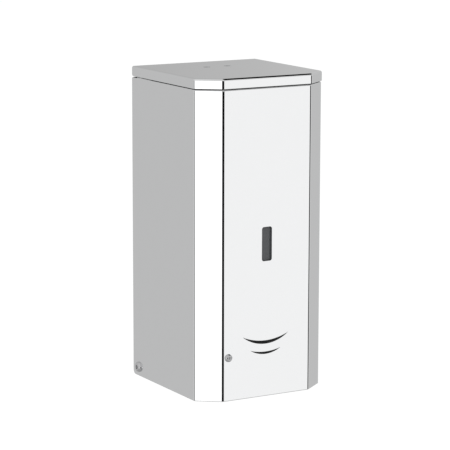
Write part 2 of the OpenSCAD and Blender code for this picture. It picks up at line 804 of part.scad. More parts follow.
// Spacer and screw at each of the board's upper holes
module board_screws() {
    y0 = -tank_front + plate_t;
    y1 = -board_y + 2.5;
    place() color("silver") for (x = [-26, 26]) {
        along_y(y0, y1, x, shelf_under - 12, 3);
        translate([x, y1 + board_t, shelf_under - 12]) rotate([-90, 0, 0])
            button_screw(1.5, y1 + board_t - y0, 2.8, 1.6, 1);
    }
}

module switch_body() {
    place() color("black") translate([switch_x, -switch_y, base_top]) difference() {
        block([-10, -6, 0], [10, 6, 10]);
        block([-6.2, -3.2, -1], [6.2, 3.2, 4.4]);
    }
}

module switch_knob() {
    x0 = switch_x - switch_travel;
    place() color("lightgray") union() {
        block([x0, -switch_y - 2, base_z - 2], [x0 + 4, -switch_y + 2, base_top + 4]);
        for (i = [0:1]) block([x0 + 0.8 + i * 1.6, -switch_y - 2, base_z - 2.4],
                              [x0 + 1.6 + i * 1.6, -switch_y + 2, base_z - 2 + eps]);
    }
}

// Leads from the cells and the sensor to the sockets, each a smooth curve through its points
module wires() {
    back = -board_y + 2.5 + board_t;
    socket_z = board_top - board_h + 28.5;
    top = box_top + 0.1;
    over = gear_z + 13;
    socket_x = socket_end - socket_w / 2;
    red_x = socket_x - 2 * socket_pitch;
    black_x = socket_x - socket_pitch;
    lead_r = 0.8;
    place() {
        color("red") tube_path(smooth([[-44, -box_y, top], [-44, -box_y - 1, top + 6],
            [-45, -60, over - 1], [-42, -90, over + 1], [-34, back + 9, over - 3],
            [red_x, back + 6.5, socket_z], [red_x, back + 4.4, socket_z]]), lead_r);
        color("black") tube_path(smooth([[-36, -box_y, top], [-36, -box_y - 1, top + 7],
            [-37, -54, over], [-38, -82, over + 2], [-28, back + 9, over],
            [black_x, back + 6.5, socket_z], [black_x, back + 4.4, socket_z]]), lead_r);
        color("white") tube_path(smooth([[-10, back + 1.7, base_top + 16.1],
            [-10.4, back + 1.5, base_top + 24], [-11, back + 2, 45],
            [socket_x, back + 2, 58], [socket_x, back + 2, socket_z - 2.9]]), lead_r);
    }
}

// ---- lid ----

module key_places() {
    for (x = [-key_pitch / 2, key_pitch / 2]) translate([x, -latch_y, 0]) children();
}

module lid() {
    w = half_w + lid_overhang;
    d = body_d + lid_overhang;
    foot = body_h + seam_gap;
    place() color("gainsboro") difference() {
        body_slab(w, d, lid_back, 0, fold_r, foot, top_z);
        body_slab(w, d, -1, sheet_t, fold_r - sheet_t + 0.01, foot - 1, lid_under);
        key_places() cylinder(h = top_z + 1, r = key_hole_r);
        both_sides() difference() {
            block([w - 6, -lid_back - 2, foot - 1], [w + 1, 1, foot + 2]);
            along_x(w - 7, w + 2, -lid_back - 2, foot + 2, 2);
        }
    }
}

// Leaf under the lid with two hinge tabs and slots round the ears
module lid_leaf() {
    tab = hinge_x + ear_t / 2 + 0.5;
    place() color("silver") difference() {
        union() {
            block([-tab - 5, -30, lid_under - leaf_t], [tab + 5, -4, lid_under]);
            both_sides() {
                along_x(tab, tab + 2, -hinge_y, hinge_z, knuckle_r);
                block([tab, -hinge_y - knuckle_r, hinge_z], [tab + 2, -4, lid_under]);
            }
        }
        both_sides() block([hinge_x - ear_t / 2 - 0.6, -12, hinge_z - 4], [tab, 0, lid_under + 1]);
        along_x(-60, 60, -hinge_y, hinge_z, hinge_pin_r);
    }
}

module hinge_pins() {
    place() color("silver") both_sides()
        along_x(hinge_x - ear_t / 2 - 1, hinge_x + ear_t / 2 + 4, -hinge_y, hinge_z, hinge_pin_r);
}

// Soft pad that closes the tank's mouth
module lid_seal() {
    place() color("black") difference() {
        block([-mouth_half - 5, -mouth_front - 5, neck_z + 0.3], [mouth_half + 5, -mouth_back + 5, lid_under]);
        block([-mouth_half + 3, -mouth_front + 3, neck_z - 1], [mouth_half - 3, -mouth_back - 3, lid_under - 2]);
    }
}

// Steel plate under the lid that the magnets hold
module keeper_plate() {
    place() color("gray") difference() {
        block([-latch_w / 2, -latch_y - 7, lid_under - 1.5], [latch_w / 2, -latch_y + 7, lid_under]);
        key_places() cylinder(h = top_z, r = key_hole_r);
    }
}

module lid_bumpers() {
    place() color("black") both_sides() for (y = [30, body_d - 24])
        translate([half_w - 5.2, -y, body_h + 0.2]) cylinder(h = lid_under - body_h - 0.2, r = 2.4);
}

// Bridge from the back plate to the latch, over the tank
module latch_bridge() {
    w = latch_w / 2 + 3;
    place() color("lightgray") union() {
        block([-w, -latch_y - 12, bridge_z], [w, -plate_t, bridge_z + bridge_t]);
        block([-w, -2 * plate_t, bridge_z - 10], [w, -plate_t, bridge_z + bridge_t]);
    }
}

latch_foot = bridge_z + bridge_t;
slide_top = lid_under - 1.8;

module latch_housing() {
    w = latch_w / 2;
    place() color("dimgray") difference() {
        block([-w - 2, -latch_y - 9, latch_foot], [w + 2, -latch_y + 9, slide_top - 4]);
        block([-w, -latch_y - 7, latch_foot + 1.5], [w, -latch_y + 7, slide_top]);
    }
}

module latch_slide() {
    w = latch_w / 2 - move_gap;
    place() color("white") difference() {
        block([-w, -latch_y - 6.6, slide_top - 8], [w, -latch_y + 6.6, slide_top]);
        for (x = [-1, 1]) block([x * 2.6 - 2, -latch_y - 5, slide_top - 3], [x * 2.6 + 2, -latch_y + 5, slide_top + 1]);
        translate([0, -latch_y, slide_top - 9]) cylinder(h = 3, r = 3.4);
    }
}

module latch_magnets() {
    place() color("silver") for (x = [-1, 1])
        block([x * 2.6 - 2, -latch_y - 5, slide_top - 3], [x * 2.6 + 2, -latch_y + 5, slide_top]);
}

// Coil spring under the slide, drawn as its turns
module latch_spring() {
    low = latch_foot + 1.5;
    high = slide_top - 6;
    turns = 3;
    wire = 0.4;
    place() color("silver") translate([0, -latch_y, 0]) for (i = [0:turns])
        translate([0, 0, low + wire + (high - low - 2 * wire) * i / turns])
            rotate_extrude() translate([2.8, 0]) circle(r = wire, $fn = 16);
}

back_plate();
nut_rivets();
tank_shelf();
shelf_screws();
base_plate();
base_screws();
cover_shell();
arc_marks();
level_window();
side_screws();
front_screw();
front_bracket();
front_nut();
tank();
outlet_seal();
outlet_nut();
inlet_hose();
outlet_hose();
hose_clips();
nozzle();
nozzle_nut();
drip_valve();
pump_bracket();
pump_housing();
pump_gasket();
pump_cover();
pump_screws();
drive_gear();
motor_shaft();
idler_gear();
idler_pin();
motor_can();
motor_cap();
battery_box();
battery_cells();
battery_contacts();
battery_door();
door_pin();
sensor_housing();
sensor_lenses();
indicator_lamp();
control_board();
board_parts();
board_screws();
switch_body();
switch_knob();
wires();
lid();
lid_leaf();
hinge_pins();
lid_seal();
keeper_plate();
lid_bumpers();
latch_bridge();
latch_housing();
latch_slide();
latch_magnets();
latch_spring();
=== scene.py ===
"""Wall mounted soap dispenser: finishes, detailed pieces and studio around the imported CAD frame."""

import logging
import math
from collections.abc import Callable
from dataclasses import dataclass, field
from enum import Enum

import bpy
import numpy as np
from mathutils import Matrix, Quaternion, Vector


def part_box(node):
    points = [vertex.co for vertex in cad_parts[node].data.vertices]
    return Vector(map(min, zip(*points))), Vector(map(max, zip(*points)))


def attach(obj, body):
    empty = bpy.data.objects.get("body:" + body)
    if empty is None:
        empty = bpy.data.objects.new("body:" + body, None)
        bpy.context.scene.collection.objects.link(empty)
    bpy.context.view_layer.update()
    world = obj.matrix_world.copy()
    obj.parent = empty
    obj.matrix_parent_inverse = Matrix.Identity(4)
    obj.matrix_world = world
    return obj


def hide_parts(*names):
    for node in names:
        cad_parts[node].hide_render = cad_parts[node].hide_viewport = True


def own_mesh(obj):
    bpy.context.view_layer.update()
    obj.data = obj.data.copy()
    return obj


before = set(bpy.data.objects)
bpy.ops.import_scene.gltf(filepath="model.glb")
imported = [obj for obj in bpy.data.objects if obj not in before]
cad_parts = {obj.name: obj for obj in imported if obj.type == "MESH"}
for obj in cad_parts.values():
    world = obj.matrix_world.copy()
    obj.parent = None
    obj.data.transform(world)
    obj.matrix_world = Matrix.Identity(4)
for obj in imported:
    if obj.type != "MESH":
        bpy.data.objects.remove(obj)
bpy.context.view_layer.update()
LOG = logging.getLogger("dispenser")
MM = 0.001
HOUSING = "housing"
LID = "lid"
Points = np.ndarray


class Grain(Enum):
    """Which way a brushed or moulded finish runs."""

    ALONG_X = (1.0, 60.0, 60.0)
    ALONG_Z = (60.0, 60.0, 1.0)
    EVEN = (20.0, 20.0, 20.0)


# ---- surfaces ----


def make_mesh(name: str, verts: Points, faces: list) -> bpy.types.Object:
    """Puts points and faces into a new mesh object at the origin.

    Args:
        name: the piece's name.
        verts: points in metres, one row each.
        faces: lists of point numbers.

    Returns:
        The new object, linked to the scene, smooth where its faces meet at a small angle.
    """
    mesh = bpy.data.meshes.new(name)
    mesh.from_pydata(np.asarray(verts).tolist(), [], faces)
    mesh.validate()
    piece = bpy.data.objects.new(name, mesh)
    bpy.context.scene.collection.objects.link(piece)
    shade(piece)
    return piece


def shade(piece: bpy.types.Object, degrees: float = 35.0) -> None:
    """Smooth shading that breaks at edges sharper than the angle.

    Args:
        piece: the mesh object.
        degrees: the angle past which an edge stays sharp.
    """
    mesh = piece.data
    mesh.polygons.foreach_set("use_smooth", np.ones(len(mesh.polygons), dtype=bool))
    mesh.set_sharp_from_angle(angle=math.radians(degrees))


def grid_faces(rows: int, cols: int, wrap: bool) -> list:
    """Quads between the rows of a grid of points, numbered row by row.

    Args:
        rows: number of rows.
        cols: points in each row.
        wrap: whether each row's last point joins its first.

    Returns:
        The quads, each as four point numbers.
    """
    i, k = np.meshgrid(np.arange(rows - 1), np.arange(cols if wrap else cols - 1), indexing="ij")
    m = (k + 1) % cols
    quads = np.stack([i * cols + k, i * cols + m, (i + 1) * cols + m, (i + 1) * cols + k], axis=-1)
    return quads.reshape(-1, 4).tolist()


def loft(name: str, rings: Points) -> bpy.types.Object:
    """A closed solid through closed rings, with a flat face over each end.

    Args:
        name: the piece's name.
        rings: array of shape (rings, points, 3) in metres, each ring anticlockwise about the way up.

    Returns:
        The solid.
    """
    n, m = rings.shape[:2]
    faces = grid_faces(n, m, True)
    faces.append(list(range(m - 1, -1, -1)))
    faces.append(list(range((n - 1) * m, n * m)))
    return make_mesh(name, rings.reshape(-1, 3), faces)


def revolve(name: str, profile: Points, centre: tuple, axis: str = "Z", turns: int = 48) -> bpy.types.Object:
    """A closed profile turned about an axis: (r cos a, r sin a, h) for each profile point (r, h).

    Args:
        name: the piece's name.
        profile: points (radius, height) in millimetres, in order round the section.
        centre: the axis's origin in millimetres.
        axis: X, Y or Z, the way that height runs; Y runs towards the front.
        turns: steps round the axis.

    Returns:
        The turned piece.
    """
    a = np.linspace(0, 2 * np.pi, turns, endpoint=False)[:, None]
    r, h = np.asarray(profile, dtype=float).T
    around = np.stack([r * np.cos(a), r * np.sin(a), h + 0 * a], axis=-1)
    order = {"Z": (0, 1, 2), "X": (2, 0, 1), "Y": (1, 2, 0)}[axis]
    pts = around[..., order] * (np.array([1, -1, 1]) if axis == "Y" else 1)
    pts = (pts + np.asarray(centre)) * MM
    n, m = pts.shape[:2]
    closed = np.concatenate([pts, pts[:1]])
    faces = [[q % (n * m) for q in quad] for quad in grid_faces(n + 1, m, True)]
    piece = make_mesh(name, closed[:n].reshape(-1, 3), faces)
    tidy_mesh(piece)
    return piece


def tidy_mesh(piece: bpy.types.Object, distance: float = 1e-6) -> None:
    """Merges points that coincide and turns every face outwards.

    Args:
        piece: the mesh object.
        distance: how near two points are when they merge, in metres.
    """
    import bmesh

    bm = bmesh.new()
    bm.from_mesh(piece.data)
    bmesh.ops.remove_doubles(bm, verts=bm.verts, dist=distance)
    bmesh.ops.dissolve_degenerate(bm, edges=bm.edges, dist=distance)
    bmesh.ops.recalc_face_normals(bm, faces=bm.faces)
    bm.to_mesh(piece.data)
    bm.free()
    shade(piece)


def tube(name: str, path: Points, radius: float, sides: int = 12,
         closed_ends: bool = True) -> bpy.types.Object:
    """A round tube along a path: each ring is p + r (u cos a + v sin a), with u and v across the path.

    Args:
        name: the piece's name.
        path: points in millimetres.
        radius: the tube's radius in millimetres.
        sides: points in each ring.
        closed_ends: whether the ends get a face.

    Returns:
        The tube.
    """
    p = np.asarray(path, dtype=float)
    t = np.gradient(p, axis=0)
    t /= np.linalg.norm(t, axis=1, keepdims=True)
    ref = np.array([1.0, 0.31, 0.17])
    u = np.cross(t, ref)
    u /= np.linalg.norm(u, axis=1, keepdims=True)
    v = np.cross(t, u)
    a = np.linspace(0, 2 * np.pi, sides, endpoint=False)[None, :, None]
    rings = (p[:, None] + radius * (np.cos(a) * u[:, None] + np.sin(a) * v[:, None])) * MM
    faces = grid_faces(len(p), sides, True)
    if closed_ends:
        faces.append(list(range(sides - 1, -1, -1)))
        faces.append(list(range((len(p) - 1) * sides, len(p) * sides)))
    piece = make_mesh(name, rings.reshape(-1, 3), faces)
    tidy_mesh(piece)
    return piece


def smooth_path(points: Points, steps: int = 10) -> Points:
    """A Catmull-Rom curve through the points.

    Args:
        points: the points to pass through.
        steps: points on each stretch.

    Returns:
        The points of the curve.
    """
    p = np.asarray(points, dtype=float)
    a, b, c, d = (np.take(p, np.clip(np.arange(len(p) - 1) + k, 0, len(p) - 1), axis=0)[:, None]
                  for k in (-1, 0, 1, 2))
    s = np.linspace(0, 1, steps, endpoint=False)[None, :, None]
    curve = 0.5 * (2 * b + (c - a) * s + (2 * a - 5 * b + 4 * c - d) * s**2 + (3 * b - a - 3 * c + d) * s**3)
    return np.vstack([curve.reshape(-1, 3), p[-1:]])


def round_outline(corners: Points, radii: list, steps: int = 12) -> Points:
    """A closed outline whose corners are arcs: each arc turns from one side's tangent point to the next's.

    Args:
        corners: the sharp corners, anticlockwise.
        radii: each corner's radius.
        steps: points on each arc.

    Returns:
        The outline's points.
    """
    p = np.asarray(corners, dtype=float)
    back, ahead = np.roll(p, 1, axis=0) - p, np.roll(p, -1, axis=0) - p
    back /= np.linalg.norm(back, axis=1, keepdims=True)
    ahead /= np.linalg.norm(ahead, axis=1, keepdims=True)
    half = np.arccos(np.clip((back * ahead).sum(axis=1), -1, 1)) / 2
    r = np.asarray(radii, dtype=float)
    middle = back + ahead
    middle /= np.linalg.norm(middle, axis=1, keepdims=True)
    centre = p + middle * (r / np.sin(half))[:, None]
    start = p + back * (r / np.tan(half))[:, None] - centre
    end = p + ahead * (r / np.tan(half))[:, None] - centre
    sweep = (np.pi - 2 * half)[:, None, None]
    s = np.linspace(0, 1, steps)[None, :, None]
    arc = (np.sin((1 - s) * sweep) * start[:, None] + np.sin(s * sweep) * end[:, None]) / np.sin(sweep)
    return (centre[:, None] + arc).reshape(-1, 2)


def at_height(outline: Points, z: float) -> Points:
    """The outline's points at one height, in metres from millimetres."""
    return np.column_stack([outline, np.full(len(outline), z)]) * MM


def drum(name: str, corners: Points, radius: float, z0: float, z1: float,
         edge: float = 0.4) -> bpy.types.Object:
    """An upright block with round corners and quarter-round upper and lower edges.

    The rings shrink towards the outline's middle by edge (1 - sin a) as they rise by edge (1 - cos a).

    Args:
        name: the piece's name.
        corners: the outline's corners in millimetres, anticlockwise.
        radius: the corners' radius.
        z0: lowest height.
        z1: highest height.
        edge: radius of the edges.

    Returns:
        The block.
    """
    flat = round_outline(corners, [radius] * len(corners), 8)
    middle, reach = flat.mean(axis=0), np.abs(flat - flat.mean(axis=0)).max(axis=0)
    a = np.linspace(0, np.pi / 2, 5)
    inset = edge * (1 - np.sin(a))
    rise = edge * (1 - np.cos(a))
    low = [at_height(middle + (flat - middle) * (1 - i / reach), z0 + h) for i, h in zip(inset, rise)]
    high = [at_height(middle + (flat - middle) * (1 - i / reach), z1 - h) for i, h in zip(inset, rise)]
    return loft(name, np.array(low + high[::-1]))


def box_corners(x0: float, y0: float, x1: float, y1: float) -> Points:
    """The four corners of a rectangle, anticlockwise."""
    return np.array([[x0, y0], [x1, y0], [x1, y1], [x0, y1]], dtype=float)


def carve(piece: bpy.types.Object, *cutters: bpy.types.Object) -> None:
    """Cuts solids out of a piece, applies the cuts and removes the cutters.

    Args:
        piece: what is cut.
        cutters: the solids to take away.
    """
    for cutter in cutters:
        cut = piece.modifiers.new("cut", "BOOLEAN")
        cut.operation = "DIFFERENCE"
        cut.solver = "EXACT"
        cut.object = cutter
    apply_modifiers(piece)
    for cutter in cutters:
        bpy.data.objects.remove(cutter)
    shade(piece)


def apply_modifiers(piece: bpy.types.Object) -> None:
    """Replaces a piece's mesh with what its modifiers make of it."""
    graph = bpy.context.evaluated_depsgraph_get()
    mesh = bpy.data.meshes.new_from_object(piece.evaluated_get(graph))
    piece.modifiers.clear()
    piece.data = mesh
    mesh.name = piece.name


def soften(piece: bpy.types.Object, width: float, segments: int = 2) -> None:
    """Rounds a piece's sharp edges and keeps its flats flat in the shading.

    Args:
        piece: the mesh object.
        width: width of the rounding in millimetres.
        segments: steps across it.
    """
    bevel = piece.modifiers.new("edge", "BEVEL")
    bevel.width = width * MM
    bevel.segments = segments
    bevel.limit_method = "ANGLE"
    bevel.angle_limit = math.radians(32)
    bevel.harden_normals = False
    bevel.use_clamp_overlap = True
    apply_modifiers(piece)
    shade(piece, 60)
    normal = piece.modifiers.new("flats", "WEIGHTED_NORMAL")
    normal.keep_sharp = True
    normal.weight = 80


def join(name: str, pieces: list) -> bpy.types.Object:
    """Joins meshes into one new piece.

    Args:
        name: the new piece's name.
        pieces: the objects to join; they are removed.

    Returns:
        The joined piece.
    """
    verts, faces, base = [], [], 0
    for part in pieces:
        count = len(part.data.vertices)
        co = np.empty(count * 3)
        part.data.vertices.foreach_get("co", co)
        verts.append(co.reshape(-1, 3))
        faces += [[base + v for v in poly.vertices] for poly in part.data.polygons]
        base += count
        bpy.data.objects.remove(part)
    return make_mesh(name, np.vstack(verts), faces)


def from_node(node: str, width: float, segments: int = 2) -> bpy.types.Object:
    """A copy of a CAD node, merged, with its flat faces whole again and its edges rounded.

    Args:
        node: the node's name.
        width: width of the edge rounding in millimetres.
        segments: steps across it.

    Returns:
        The new piece, named after the node.
    """
    import bmesh

    piece = bpy.data.objects.new(node + "_piece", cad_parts[node].data.copy())
    bpy.context.scene.collection.objects.link(piece)
    bm = bmesh.new()
    bm.from_mesh(piece.data)
    bmesh.ops.remove_doubles(bm, verts=bm.verts, dist=2e-6)
    bmesh.ops.dissolve_limit(bm, angle_limit=math.radians(0.5), verts=bm.verts, edges=bm.edges)
    bm.to_mesh(piece.data)
    bm.free()
    piece.data.materials.clear()
    soften(piece, width, segments)
    return piece


# ---- finishes ----


class Nodes:
    """A material under construction, with short calls for its nodes."""

    def __init__(self, name: str) -> None:
        """Starts a material with one Principled shader."""
        self.material = bpy.data.materials.new(name)
        self.material.use_nodes = True
        self.tree = self.material.node_tree
        self.shader = self.tree.nodes["Principled BSDF"]

    def add(self, kind: str, **values) -> bpy.types.Node:
        """Adds a node and sets its sockets by name.

        Args:
            kind: the node's type.
            values: socket values, with _ for a space in the socket's name.

        Returns:
            The node.
        """
        node = self.tree.nodes.new(kind)
        for key, value in values.items():
            node.inputs[key.replace("_", " ")].default_value = value
        return node

    def link(self, out, into) -> None:
        """Joins an output socket to an input socket."""
        self.tree.links.new(out, into)

    def where(self, scale: tuple = (1.0, 1.0, 1.0)):
        """Object coordinates, stretched by scale."""
        coords = self.tree.nodes.new("ShaderNodeTexCoord")
        mapping = self.add("ShaderNodeMapping", Scale=scale)
        self.link(coords.outputs["Object"], mapping.inputs["Vector"])
        return mapping.outputs["Vector"]

    def noise(self, scale: float, stretch: tuple = (1.0, 1.0, 1.0), detail: float = 4.0):
        """The value of a noise texture on Object coordinates."""
        node = self.add("ShaderNodeTexNoise", Scale=scale, Detail=detail)
        self.link(self.where(stretch), node.inputs["Vector"])
        return node.outputs["Fac"]

    def span(self, value, low: float, high: float):
        """A value from 0.3 to 0.7 spread from low to high."""
        node = self.add("ShaderNodeMapRange", From_Min=0.3, From_Max=0.7, To_Min=low, To_Max=high)
        self.link(value, node.inputs["Value"])
        return node.outputs["Result"]

    def blend(self, factor, first: tuple, second: tuple):
        """A colour between two colours."""
        node = self.tree.nodes.new("ShaderNodeMix")
        node.data_type = "RGBA"
        node.inputs["A"].default_value = (*first, 1)
        node.inputs["B"].default_value = (*second, 1)
        self.link(factor, node.inputs["Factor"])
        return node.outputs["Result"]

    def bump(self, height, strength: float, distance: float) -> None:
        """Raises the surface by a height value; distance is in metres."""
        node = self.add("ShaderNodeBump", Strength=strength, Distance=distance)
        self.link(height, node.inputs["Height"])
        self.link(node.outputs["Normal"], self.shader.inputs["Normal"])

    def see_through_from_behind(self) -> None:
        """Lets the surface vanish when it is looked at from its rear, as a floor seen from below."""
        mix, clear = self.add("ShaderNodeMixShader"), self.add("ShaderNodeBsdfTransparent")
        out = next(node for node in self.tree.nodes if node.type == "OUTPUT_MATERIAL")
        self.link(self.add("ShaderNodeNewGeometry").outputs["Backfacing"], mix.inputs[0])
        self.link(self.shader.outputs[0], mix.inputs[1])
        self.link(clear.outputs[0], mix.inputs[2])
        self.link(mix.outputs[0], out.inputs["Surface"])

    def set(self, **values) -> None:
        """Sets constants on the shader's own sockets."""
        for key, value in values.items():
            self.shader.inputs[key.replace("_", " ")].default_value = value


def tone(colour: tuple, factor: float) -> tuple:
    """A colour made lighter or darker."""
    return tuple(min(1.0, c * factor) for c in colour)


@dataclass(frozen=True)
class PolishedSteel:
    """Mirror polished sheet: almost even, with faint polishing haze and a slow ripple from folding."""

    name: str = "mirror_steel"
    colour: tuple = (0.9, 0.905, 0.91)

    def make(self) -> bpy.types.Material:
        """Builds the material."""
        n = Nodes(self.name)
        haze = n.noise(60, (1, 1, 1), 6)
        n.link(n.span(haze, 0.025, 0.06), n.shader.inputs["Roughness"])
        n.link(n.blend(haze, tone(self.colour, 0.985), self.colour), n.shader.inputs["Base Color"])
        n.bump(n.noise(900, (1, 1, 0.06), 2), 0.02, 0.00001)
        n.set(Metallic=1.0)
        return n.material


@dataclass(frozen=True)
class BrushedSteel:
    """Sheet or turned steel with fine lines along its grain."""

    name: str
    colour: tuple = (0.62, 0.63, 0.64)
    grain: Grain = Grain.ALONG_X
    rough: float = 0.3
    lines: float = 40.0

    def make(self) -> bpy.types.Material:
        """Builds the material."""
        n = Nodes(self.name)
        line = n.noise(self.lines, self.grain.value, 5)
        cloud = n.noise(25, (1, 1, 1), 3)
        n.link(n.span(line, self.rough - 0.08, self.rough + 0.1), n.shader.inputs["Roughness"])
        n.link(n.blend(cloud, tone(self.colour, 0.9), tone(self.colour, 1.08)),
               n.shader.inputs["Base Color"])
        n.bump(line, 0.12, 0.00005)
        n.set(Metallic=1.0)
        return n.material


@dataclass(frozen=True)
class Moulded:
    """Moulded plastic with a fine spark-eroded texture and faint flow clouds."""

    name: str
    colour: tuple
    rough: float = 0.45
    texture: float = 0.25
    coat: float = 0.0

    def make(self) -> bpy.types.Material:
        """Builds the material."""
        n = Nodes(self.name)
        flow = n.noise(18, (1, 1, 0.5), 3)
        grit = n.noise(1800, (1, 1, 1), 2)
        n.link(n.blend(flow, tone(self.colour, 0.86), tone(self.colour, 1.12)),
               n.shader.inputs["Base Color"])
        n.link(n.span(grit, self.rough - 0.06, self.rough + 0.08), n.shader.inputs["Roughness"])
        n.bump(grit, self.texture, 0.00008)
        n.set(Coat_Weight=self.coat, Coat_Roughness=0.1)
        return n.material


@dataclass(frozen=True)
class SoftRubber:
    """Rubber or silicone with a dull skin, some light passing into it and a dusting of bloom."""

    name: str
    colour: tuple
    rough: float = 0.6
    glow: float = 0.0

    def make(self) -> bpy.types.Material:
        """Builds the material."""
        n = Nodes(self.name)
        bloom = n.noise(120, (1, 1, 1), 5)
        n.link(n.blend(bloom, self.colour, tone(self.colour, 1.25)), n.shader.inputs["Base Color"])
        n.link(n.span(bloom, self.rough - 0.1, self.rough + 0.1), n.shader.inputs["Roughness"])
        n.bump(n.noise(900, (1, 1, 1), 3), 0.15, 0.00006)
        n.set(Subsurface_Weight=self.glow, Subsurface_Scale=0.003, Sheen_Weight=0.15)
        return n.material


@dataclass(frozen=True)
class ClearPlastic:
    """See-through plastic: smoked acrylic or milky polyethylene by its colour and roughness."""

    name: str
    colour: tuple
    passes: float
    rough: float
    ior: float = 1.5

    def make(self) -> bpy.types.Material:
        """Builds the material."""
        n = Nodes(self.name)
        cloud = n.noise(14, (1, 1, 0.6), 4)
        n.link(n.blend(cloud, tone(self.colour, 0.94), tone(self.colour, 1.04)),
               n.shader.inputs["Base Color"])
        n.link(n.span(cloud, self.rough * 0.85, self.rough * 1.15), n.shader.inputs["Roughness"])
        n.bump(n.noise(500, (1, 1, 1), 2), 0.04, 0.00005)
        n.set(Transmission_Weight=self.passes, IOR=self.ior)
        return n.material


@dataclass(frozen=True)
class BoardLacquer:
    """Circuit board lacquer: tracks run in steps under a glossy green coat."""

    name: str = "circuit_board"
    lacquer: tuple = (0.012, 0.12, 0.045)
    track: tuple = (0.03, 0.26, 0.09)

    def make(self) -> bpy.types.Material:
        """Builds the material."""
        n = Nodes(self.name)
        cells = n.add("ShaderNodeTexVoronoi", Scale=240.0)
        cells.distance = "CHEBYCHEV"
        n.link(n.where((1, 0.1, 1.4)), cells.inputs["Vector"])
        edge = n.add("ShaderNodeMapRange", From_Min=0.42, From_Max=0.46, To_Min=0.0, To_Max=1.0)
        n.link(cells.outputs["Distance"], edge.inputs["Value"])
        n.link(n.blend(edge.outputs["Result"], self.lacquer, self.track), n.shader.inputs["Base Color"])
        n.bump(edge.outputs["Result"], 0.3, 0.00003)
        n.set(Roughness=0.28, Coat_Weight=0.5, Coat_Roughness=0.12)
        return n.material


@dataclass(frozen=True)
class CellJacket:
    """Shrink jacket of a battery cell: a dark sleeve with a coppery band near the top, by height."""

    name: str
    band_from: float
    sleeve: tuple = (0.015, 0.017, 0.02)
    band: tuple = (0.5, 0.2, 0.06)

    def make(self) -> bpy.types.Material:
        """Builds the material."""
        n = Nodes(self.name)
        axes = n.tree.nodes.new("ShaderNodeSeparateXYZ")
        n.link(n.where(), axes.inputs["Vector"])
        step = n.add("ShaderNodeMapRange", From_Min=self.band_from, From_Max=self.band_from + 0.0003)
        n.link(axes.outputs["Z"], step.inputs["Value"])
        n.link(n.blend(step.outputs["Result"], self.sleeve, self.band), n.shader.inputs["Base Color"])
        n.link(n.span(n.noise(300, (1, 1, 0.2), 3), 0.2, 0.34), n.shader.inputs["Roughness"])
        n.set(Metallic=0.6, Coat_Weight=0.6, Coat_Roughness=0.08)
        return n.material


class Palette:
    """Every finish of the dispenser by the name of its slot, made once."""

    def __init__(self) -> None:
        """Makes the materials."""
        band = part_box("battery_cells")[1][2] - 11 * MM
        finishes = [
            PolishedSteel(),
            BrushedSteel("steel_plate"),
            BrushedSteel("steel_upright", grain=Grain.ALONG_Z),
            BrushedSteel("fastener_steel", (0.7, 0.7, 0.71), Grain.EVEN, 0.2, 80.0),
            BrushedSteel("spring_steel", (0.6, 0.6, 0.62), Grain.EVEN, 0.25, 60.0),
            BrushedSteel("magnet", (0.78, 0.78, 0.8), Grain.EVEN, 0.16, 30.0),
            Moulded("black_fill", (0.002, 0.002, 0.0022), 0.75, 0.05),
            Moulded("dark_plastic", (0.035, 0.036, 0.04), 0.5),
            Moulded("pump_plastic", (0.09, 0.1, 0.11), 0.42),
            Moulded("gear_plastic", (0.78, 0.7, 0.52), 0.35, 0.08),
            Moulded("pale_plastic", (0.7, 0.7, 0.68), 0.4),
            Moulded("chip_black", (0.02, 0.02, 0.022), 0.4, 0.3),
            Moulded("lamp_lens", (0.05, 0.5, 0.1), 0.12, 0.02, 0.5),
            Moulded("sensor_glass", (0.03, 0.004, 0.008), 0.08, 0.01, 1.0),
            Moulded("wire_red", (0.5, 0.02, 0.015), 0.35, 0.05),
            Moulded("wire_black", (0.015, 0.015, 0.015), 0.35, 0.05),
            Moulded("wire_white", (0.75, 0.74, 0.7), 0.35, 0.05),
            SoftRubber("black_rubber", (0.02, 0.02, 0.021)),
            SoftRubber("silicone", (0.8, 0.79, 0.73), 0.4, 0.3),
            SoftRubber("red_silicone", (0.6, 0.09, 0.03), 0.45, 0.2),
            ClearPlastic("window_clear", (0.05, 0.052, 0.055), 0.12, 0.12),
            ClearPlastic("tank_plastic", (0.86, 0.88, 0.86), 0.45, 0.5),
            BoardLacquer(),
            CellJacket("cell_jacket", band),
        ]
        self.materials = {finish.name: finish.make() for finish in finishes}

    def dress(self, piece: bpy.types.Object, finish: str, body: str, *nodes: str, slot: str = "") -> None:
        """Gives a piece its material and body, and hides the CAD nodes that it stands for.

        Args:
            piece: the mesh object.
            finish: name of the finish.
            body: the CAD body that it rides on.
            nodes: the CAD nodes that it replaces.
            slot: not used.
        """
        piece.data.materials.clear()
        piece.data.materials.append(self.materials[finish])
        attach(piece, body)
        if nodes:
            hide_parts(*nodes)
        LOG.info("%s: %d faces, %s", piece.name, len(piece.data.polygons), finish)

    def refine(self, node: str, finish: str, body: str, width: float = 0.25, slot: str = "") -> None:
        """Shows a CAD node with rounded edges and a finish."""
        self.dress(from_node(node, width), finish, body, node, slot=slot)


# ---- sub-assemblies ----


def box_mm(node: str) -> tuple:
    """A CAD node's lowest and highest corners, in millimetres."""
    low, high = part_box(node)
    return np.array(low) / MM, np.array(high) / MM


def middle_mm(node: str) -> Points:
    """The middle of a CAD node's box, in millimetres."""
    low, high = box_mm(node)
    return (low + high) / 2


